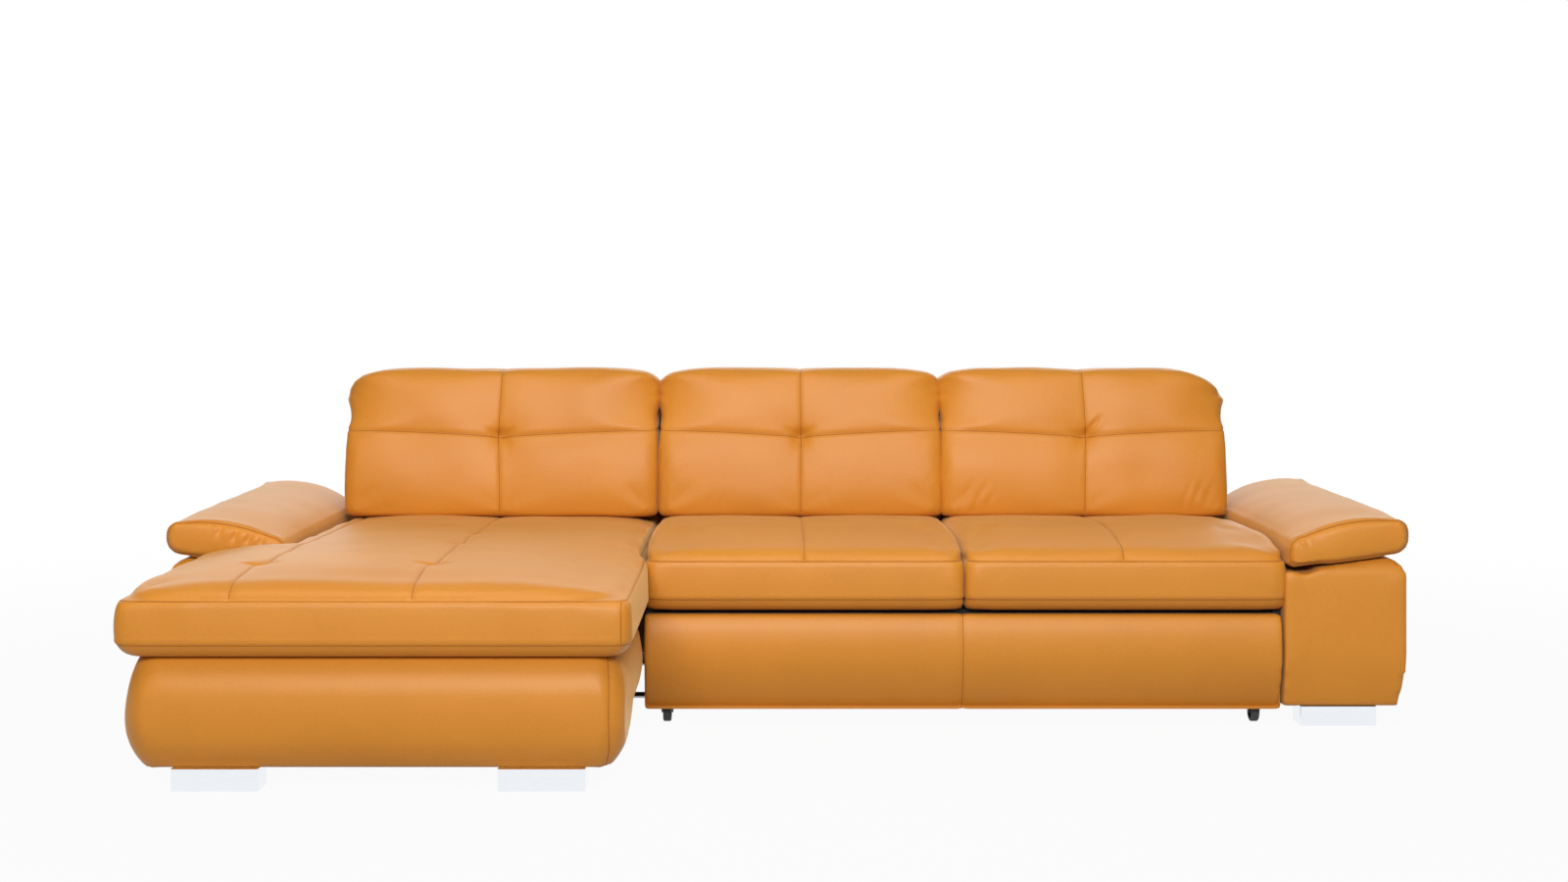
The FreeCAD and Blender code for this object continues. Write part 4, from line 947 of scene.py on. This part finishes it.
def armPad(side):
    look = padLook
    node = side + "_arm_pad"
    low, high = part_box(node)
    inner = low.x if side == "right" else high.x
    width = high.x - low.x
    mesh = softMesh([node], look["voxel"], look["smoothing"], look["swell"])
    points = pointsOf(mesh)
    # the top is evened out away from its ends, before the stuffing and after
    inside = step(np.minimum(points[:, 1] - low.y, high.y - points[:, 1]), 0.03, 0.08)
    relax(mesh, points, step(normalsOf(mesh)[:, 2], 0.80, 0.93) * inside, 60)
    setPoints(mesh, points)
    held = np.abs(points[:, 1] - low.y - look["seamInset"]) < seamHold
    held |= points[:, 1] > high.y - 0.012
    mesh = stuffed(mesh, held, look["pressure"], look["cap"])
    mesh = subdivided(mesh)
    points = pointsOf(mesh)
    normals = normalsOf(mesh)
    inside = step(np.minimum(points[:, 1] - low.y, high.y - points[:, 1]), 0.02, 0.05)
    relax(mesh, points, step(normals[:, 2], 0.6, 0.85) * inside, 160, (2,))
    gather(points, 1, points[:, 1] - low.y - look["seamInset"], look["seamGather"])
    loop = together(points[:, 1] - low.y - look["seamInset"], points[:, 1] - high.y + look["seamInset"])
    points -= normals * (look["grooveDepth"] * bell(loop, look["grooveWidth"]))[:, None]
    share = np.clip((np.abs(points[:, 0]) - abs(inner)) / width, 0, 1)
    upward = step(normals[:, 2], 0.1, 0.7)
    back = step(points[:, 1], low.y, low.y + 0.25)
    points[:, 2] += look["crown"] * np.sin(np.pi * share) * upward * back
    outward = np.clip((share - 0.08) / 0.92, 0, 1) * (0.6 + 0.4 * back)
    points[:, 2] += look["outerRise"][side] * outward * step(normals[:, 2], -0.3, 0.5)
    inward = bell(share - 0.30, 0.20) * step(share, 0.0, 0.3)
    points[:, 2] += look["innerRise"] * inward * upward * back
    # the underside and the inner edge keep clear of the arm body when the pad turns up
    under = 1 - step(normals[:, 2], -0.6, 0.0)
    points[:, 2] += look["clearance"] * under * (1 - step(share, 0.2, 0.4))
    # the front gathers along its upper seam and at its inner end
    front = normals[:, 1] < -0.4
    for place, reach, drift, depth in look["gathers"][side]:
        x = math.copysign(abs(inner) + place * width, points[0, 0])
        top = points[front & (np.abs(points[:, 0] - x) < 0.012)][:, 2].max()
        start = (x, top - look["foldDrop"])
        end = (x + math.copysign(drift, points[0, 0]), top - look["foldDrop"] - reach)
        fold(points, normals, (0, 2), front, (start, end), depth, look["foldWidth"])
    points += normals * (look["waveDepth"] * waves(points, look["waveLength"], look["waveSeed"]))[:, None]
    setPoints(mesh, points)
    saveSeams(mesh, None, None, (loop, np.ones(len(points))))
    body = "arm_pad_" + side + "_body"
    piece = finished("armPad_" + side, mesh, leather, body, [node])
    stitchLine = low.y + look["seamInset"] + look["stitchInset"]
    stitched("armStitches_" + side, mesh, [(points[:, 1], np.ones(len(points)), stitchLine)], body)


for side in ("left", "right"):
    armPad(side)
print("arm pads ready")

# Covered panels: chaise base, arm bodies, bed front and back shells
panelLook = {
    "voxel": 0.008,
    "smoothing": 3,
    "swell": 0.002,
    "seamDepth": 0.0022,
    "seamWidth": 0.006,
    "stitchSide": 0.0042,
}
bedFrontLook = {
    "fullest": 0.175,
    "drawAbove": 0.013,
    "drawBelow": 0.026,
    "riseAbove": 0.005,
    "dropBelow": 0.006,
}
baseLook = {"widen": 0.007, "widenLow": 0.010, "drawIn": 0.018, "bedGap": 0.004, "seamInset": 0.030}
armLook = {"taper": 0.014, "faceReach": 0.16}


def fullFront(points):
    # the padded bed front draws back above and below its fullest line
    look = bedFrontLook
    fullest, top, bottom = look["fullest"], points[:, 2].max(), points[:, 2].min()
    above = np.clip((points[:, 2] - fullest) / (top - fullest), 0, 1)
    below = np.clip((fullest - points[:, 2]) / (fullest - bottom), 0, 1)
    front = points[:, 1] < points[:, 1].min() + 0.03
    points[:, 1] += (look["drawAbove"] * above ** 2 + look["drawBelow"] * below ** 2) * front
    points[:, 2] += look["riseAbove"] * above ** 2 - look["dropBelow"] * below


def fullBase(points):
    # the chaise base is a little wider at the front, most at its foot
    look = baseLook
    middle = (points[:, 0].min() + points[:, 0].max()) / 2
    wide = (points[:, 0] - middle) / (points[:, 0].max() - middle)
    near = 1 - step(points[:, 1], -0.75, -0.35)
    low = 1 - step(points[:, 2], 0.05, 0.22)
    points[:, 0] += wide * near * (look["widen"] + look["widenLow"] * low)
    # and draws in towards the cushion above it
    above = np.clip((points[:, 2] - 0.19) / 0.08, 0, 1)
    points[:, 1] += look["drawIn"] * above ** 2 * (points[:, 1] < points[:, 1].min() + 0.12)
    # its right side stays clear of the bed front that slides past it
    points[:, 0] = np.minimum(points[:, 0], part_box("bed_front_panel")[0].x - look["bedGap"])


def fullArm(points):
    # the outer face of an arm falls almost straight to its bottom edge
    side = np.sign(points[:, 0].mean())
    out = points[:, 0] * side
    levels = np.linspace(points[:, 2].min(), points[:, 2].max(), 24)
    reach = (levels[1] - levels[0]) * 0.75
    edges = [out[np.abs(points[:, 2] - level) < reach].max() for level in levels]
    edge = np.interp(points[:, 2], levels, edges)
    wanted = out.max() - armLook["taper"] * np.clip((0.22 - points[:, 2]) / 0.18, 0, 1)
    lower = 1 - step(points[:, 2], 0.20, 0.26)
    near = step(out, edge - armLook["faceReach"], edge - 0.01)
    points[:, 0] += side * np.maximum(wanted - edge, 0) * lower * near


def coveredPanel(name, nodes, body, seam=None, shape=None, **own):
    # own: what differs from panelLook for this panel
    look = {**panelLook, **own}
    mesh = softMesh(nodes, look["voxel"], look["smoothing"], look["swell"])
    points = pointsOf(mesh)
    normals = normalsOf(mesh)
    families = [None, None, None]
    if shape:
        shape(points)
    if seam:
        distance, shown = seam(points, normals)
        families[0] = (distance, shown)
        points -= normals * (look["seamDepth"] * bell(distance, look["seamWidth"]) * shown)[:, None]
    setPoints(mesh, points)
    saveSeams(mesh, *families)
    finished(name, mesh, leather, body, nodes)
    if seam:
        sides = (-look["stitchSide"], look["stitchSide"])
        stitched(name + "Stitches", mesh, [(distance, shown, side) for side in sides], body)


def cornerSeam(points, normals):
    # down the right front corner of the chaise base, a constant way in from its swelling side
    levels = np.linspace(points[:, 2].min(), points[:, 2].max(), 24)
    front = points[points[:, 1] < points[:, 1].min() + 0.12]
    right = [front[np.abs(front[:, 2] - level) < 0.012][:, 0].max() for level in levels]
    edge = 0.4 * np.interp(points[:, 2], levels, right) + 0.6 * max(right)
    distance = points[:, 0] - edge + baseLook["seamInset"]
    shown = np.where((points[:, 1] < points[:, 1].min() + 0.09) & (normals[:, 1] < 0), 1.0, 0.0)
    return distance, shown


def middleSeam(points, _):
    middle = (points[:, 0].min() + points[:, 0].max()) / 2
    return points[:, 0] - middle, np.ones(len(points))


basePanels = ["chaise_front_panel", "chaise_left_panel", "chaise_right_panel"]
coveredPanel("chaiseBase", basePanels, "root", cornerSeam, fullBase, swell=0.006)
coveredPanel("bedFront", ["bed_front_panel"], "bed_drawer", middleSeam, fullFront, swell=0.001, voxel=0.006)
for side in ("left", "right"):
    coveredPanel("armBody_" + side, [side + "_arm_body"], "root", shape=fullArm, swell=0.0)
for half in ("chaise", "sofa"):
    coveredPanel("backShell_" + half, [half + "_back_shell"], "root")
print("covered panels ready")

# Mattress of the bed, quilted in squares, with a border tape
mattressLook = {
    "voxel": 0.013,
    "smoothing": 3,
    "swell": 0.002,
    "pressure": 2.0,
    "cap": 0.004,
    "frames": 12,
    "square": 0.11,
    "quilt": 0.005,
    "quiltWidth": 0.010,
    "tape": 0.0025,
    "tapeInset": 0.012,
    "tapeWidth": 0.005,
}


def mattress():
    look = mattressLook
    low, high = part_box("bed_mattress")
    mesh = softMesh(["bed_mattress"], look["voxel"], look["smoothing"], look["swell"])
    points = pointsOf(mesh)
    held = (points[:, 2] < low.z + 0.008) | (np.abs(points[:, 2] - (low.z + high.z) / 2) < 0.008)
    mesh = stuffed(mesh, held, look["pressure"], look["cap"], look["frames"])
    mesh = subdivided(mesh)
    points = pointsOf(mesh)
    normals = normalsOf(mesh)
    along = (points[:, 0] + points[:, 1]) / math.sqrt(2)
    across = (points[:, 0] - points[:, 1]) / math.sqrt(2)
    first = np.abs((along / look["square"]) % 1 - 0.5) * look["square"]
    second = np.abs((across / look["square"]) % 1 - 0.5) * look["square"]
    flat = step(normals[:, 2], 0.6, 0.95)
    quilting = np.maximum(bell(first, look["quiltWidth"]), bell(second, look["quiltWidth"]))
    points -= normals * (look["quilt"] * quilting * flat)[:, None]
    lowTape = np.abs(points[:, 2] - low.z - look["tapeInset"])
    highTape = np.abs(points[:, 2] - high.z + look["tapeInset"])
    border = np.minimum(lowTape, highTape)
    points += normals * (look["tape"] * bell(border, look["tapeWidth"]) * (1 - flat))[:, None]
    setPoints(mesh, points)
    piece = finished("mattress", mesh, ticking, "bed_drawer", ["bed_mattress"])


def wovenMaterial(name, colour, threads, contrast, sheen):
    # two crossing sets of ribs, in the colour and the relief
    material = bpy.data.materials.new(name)
    material.use_nodes = True
    tree = material.node_tree
    shader = tree.nodes["Principled BSDF"]
    shader.inputs["Roughness"].default_value = 0.85
    shader.inputs["Sheen Weight"].default_value = sheen
    place = addNode(tree, "ShaderNodeTexCoord")
    ribLimits = {"Scale": threads, "Distortion": 0.4}
    ribs = addNode(tree, "ShaderNodeTexWave", bands_direction="X", inputs=ribLimits)
    cross = addNode(tree, "ShaderNodeTexWave", bands_direction="Y", inputs=ribLimits)
    weave = addNode(tree, "ShaderNodeMath", operation="MAXIMUM")
    tint = addNode(tree, "ShaderNodeMix", data_type="RGBA")
    tint.inputs[6].default_value = tuple(part * (1 - contrast) for part in colour) + (1,)
    tint.inputs[7].default_value = colour + (1,)
    relief = addNode(tree, "ShaderNodeBump", inputs={"Strength": 0.5, "Distance": 0.0004})
    linkNodes(
        tree,
        (place.outputs["Object"], ribs.inputs["Vector"]),
        (place.outputs["Object"], cross.inputs["Vector"]),
        (ribs.outputs["Fac"], weave.inputs[0]),
        (cross.outputs["Fac"], weave.inputs[1]),
        (weave.outputs[0], tint.inputs["Factor"]),
        (weave.outputs[0], relief.inputs["Height"]),
        (tint.outputs[2], shader.inputs["Base Color"]),
        (relief.outputs["Normal"], shader.inputs["Normal"]),
    )
    return material


ticking = wovenMaterial("mattressTicking", (0.80, 0.78, 0.72), 260.0, 0.12, 0.3)
mattress()
print("mattress ready")

# Finishes of the parts that keep their own form
timberLook = {
    "colour": (0.50, 0.33, 0.17),
    "roughness": 0.62,
    "scale": 38.0,
    "contrast": 0.28,
    "bump": 0.0003,
}
grainStretch = 0.05
timbers = []
for number, name in enumerate(("timberAcross", "timberDeep", "timberUpright")):
    stretch = [1.0, 1.0, 1.0]
    stretch[number] = grainStretch
    timbers.append(plainMaterial(name, stretch=stretch, **timberLook))
chromeLook = {
    "roughness": 0.12,
    "metallic": 1.0,
    "scale": 60.0,
    "stretch": (1, 1, 6),
    "contrast": 0.04,
    "bump": 0.00002,
}
plasticLook = {"roughness": 0.42, "scale": 700.0, "contrast": 0.3, "bump": 0.00008}
steelLook = {"roughness": 0.34, "metallic": 1.0, "scale": 90.0, "contrast": 0.16, "bump": 0.00005}
nylonLook = {"roughness": 0.38, "scale": 300.0, "contrast": 0.06, "bump": 0.00005}
rubberLook = {"roughness": 0.7, "scale": 500.0, "contrast": 0.3, "bump": 0.0001}
finishes = {
    "leather": leather,
    "chrome": plainMaterial("polishedChrome", (0.88, 0.91, 0.95), **chromeLook),
    "black_plastic": plainMaterial("blackPlastic", (0.018, 0.018, 0.019), **plasticLook),
    "steel": plainMaterial("zincSteel", (0.42, 0.43, 0.44), **steelLook),
    "webbing": wovenMaterial("elasticWebbing", (0.10, 0.10, 0.11), 180.0, 0.5, 0.1),
    "nylon": plainMaterial("nylonGlide", (0.72, 0.71, 0.67), **nylonLook),
    "wheel_rubber": plainMaterial("wheelRubber", (0.045, 0.045, 0.047), **rubberLook),
    "mattress_cover": ticking,
}
lining = wovenMaterial("blackLining", (0.020, 0.019, 0.018), 240.0, 0.4, 0.05)
linedNodes = (
    "sofa_front_rail",
    "sofa_left_side",
    "sofa_right_side",
    "chaise_right_rail",
    "chaise_front_rail",
    "chaise_rear_rail",
)
slots = {part["node"]: part["material_slot"] for part in frame["record"]["subparts"]}
for node, slot in slots.items():
    low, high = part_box(node)
    longest = int(np.argmax(np.array(high) - np.array(low)))
    if node in linedNodes:
        material = lining
    elif slot == "timber":
        material = timbers[longest]
    else:
        material = finishes[slot]
    kept = frame["nodes"][node].data.materials
    if len(kept) == 0:
        kept.append(material)
    for number in range(len(kept)):
        kept[number] = material
print("finishes ready")

# Floor, light and camera
floorLook = {"reach": 30, "tone": 0.38, "glow": 1.0, "nearShare": 0.95, "fade": (1.5, 5.0)}
floorMesh = bpy.data.meshes.new("floor")
floorReach = floorLook["reach"]
floorCorners = [(x * floorReach, y * floorReach, 0) for x, y in ((-1, -1), (1, -1), (1, 1), (-1, 1))]
floorMesh.from_pydata(floorCorners, [], [(0, 1, 2, 3)])
floor = newPiece("floor", floorMesh)
floorMaterial = bpy.data.materials.new("paleFloor")
floorMaterial.use_nodes = True
floorTree = floorMaterial.node_tree
floorTree.nodes.clear()
floorColour = (floorLook["tone"],) * 3 + (1,)
floorMatte = addNode(floorTree, "ShaderNodeBsdfDiffuse", inputs={"Color": floorColour})
floorGlow = addNode(floorTree, "ShaderNodeEmission", inputs={"Strength": floorLook["glow"]})
floorPath = addNode(floorTree, "ShaderNodeLightPath")
floorPlace = addNode(floorTree, "ShaderNodeTexCoord")
floorAway = addNode(floorTree, "ShaderNodeVectorMath", operation="LENGTH")
fadeStart, fadeEnd = floorLook["fade"]
floorFade = addNode(
    floorTree,
    "ShaderNodeMapRange",
    interpolation_type="SMOOTHSTEP",
    inputs={"From Min": fadeStart, "From Max": fadeEnd, "To Min": floorLook["nearShare"], "To Max": 1.0},
)
floorShare = addNode(floorTree, "ShaderNodeMath", operation="MULTIPLY")
floorSeen = addNode(floorTree, "ShaderNodeMath", operation="MAXIMUM")
floorMix = addNode(floorTree, "ShaderNodeMixShader")
floorOutput = addNode(floorTree, "ShaderNodeOutputMaterial")
linkNodes(
    floorTree,
    (floorPlace.outputs["Object"], floorAway.inputs[0]),
    (floorAway.outputs["Value"], floorFade.inputs["Value"]),
    (floorFade.outputs["Result"], floorShare.inputs[0]),
    (floorPath.outputs["Is Camera Ray"], floorSeen.inputs[0]),
    (floorPath.outputs["Is Glossy Ray"], floorSeen.inputs[1]),
    (floorSeen.outputs[0], floorShare.inputs[1]),
    (floorShare.outputs[0], floorMix.inputs[0]),
    (floorMatte.outputs[0], floorMix.inputs[1]),
    (floorGlow.outputs[0], floorMix.inputs[2]),
    (floorMix.outputs[0], floorOutput.inputs["Surface"]),
)
floorMesh.materials.append(floorMaterial)

worldFill = 0.14
world = bpy.data.worlds.new("studio")
world.use_nodes = True
worldTree = world.node_tree
worldPath = addNode(worldTree, "ShaderNodeLightPath")
worldStrength = addNode(worldTree, "ShaderNodeMapRange", inputs={"To Min": worldFill, "To Max": 1.0})
background = worldTree.nodes["Background"]
background.inputs["Color"].default_value = (1, 1, 1, 1)
linkNodes(
    worldTree,
    (worldPath.outputs["Is Camera Ray"], worldStrength.inputs["Value"]),
    (worldStrength.outputs["Result"], background.inputs["Strength"]),
)
scene.world = world


def softBox(name, place, aim, size, power):
    data = bpy.data.lights.new(name, "AREA")
    data.shape = "RECTANGLE"
    data.size, data.size_y = size
    data.energy = power
    lamp = bpy.data.objects.new(name, data)
    lamp.location = place
    lamp.rotation_euler = (Vector(aim) - Vector(place)).to_track_quat("-Z", "Y").to_euler()
    scene.collection.objects.link(lamp)


# each light's place, what it points at, its size and its power in watts
softBoxes = {
    "frontBox": ((-0.2, -8.6, 4.4), (0.0, 0.0, 0.3), (5.0, 2.6), 700),
    "overheadBox": ((0.0, -1.0, 4.2), (0.0, -0.3, 0.3), (5.0, 3.0), 40),
    "nearBox": ((-0.2, -1.2, 2.6), (-0.2, -0.7, 0.4), (3.4, 1.0), 26),
    "rearBox": ((0.0, 4.5, 2.2), (0.0, 0.0, 0.3), (9.0, 3.0), 150),
}
for name, (place, aim, size, power) in softBoxes.items():
    softBox(name, place, aim, size, power)

cameraLook = {"lens": 51.6, "sensor": 36, "shift": (0.0106, -0.0912), "place": (-0.0468, -5.395, 1.0)}
cameraData = bpy.data.cameras.new("camera")
cameraData.lens = cameraLook["lens"]
cameraData.sensor_width = cameraLook["sensor"]
cameraData.shift_x, cameraData.shift_y = cameraLook["shift"]
camera = bpy.data.objects.new("camera", cameraData)
camera.location = cameraLook["place"]
camera.rotation_euler = (math.radians(90), 0, 0)
scene.collection.objects.link(camera)
scene.camera = camera
scene.view_settings.view_transform = "Standard"

print("scene ready")
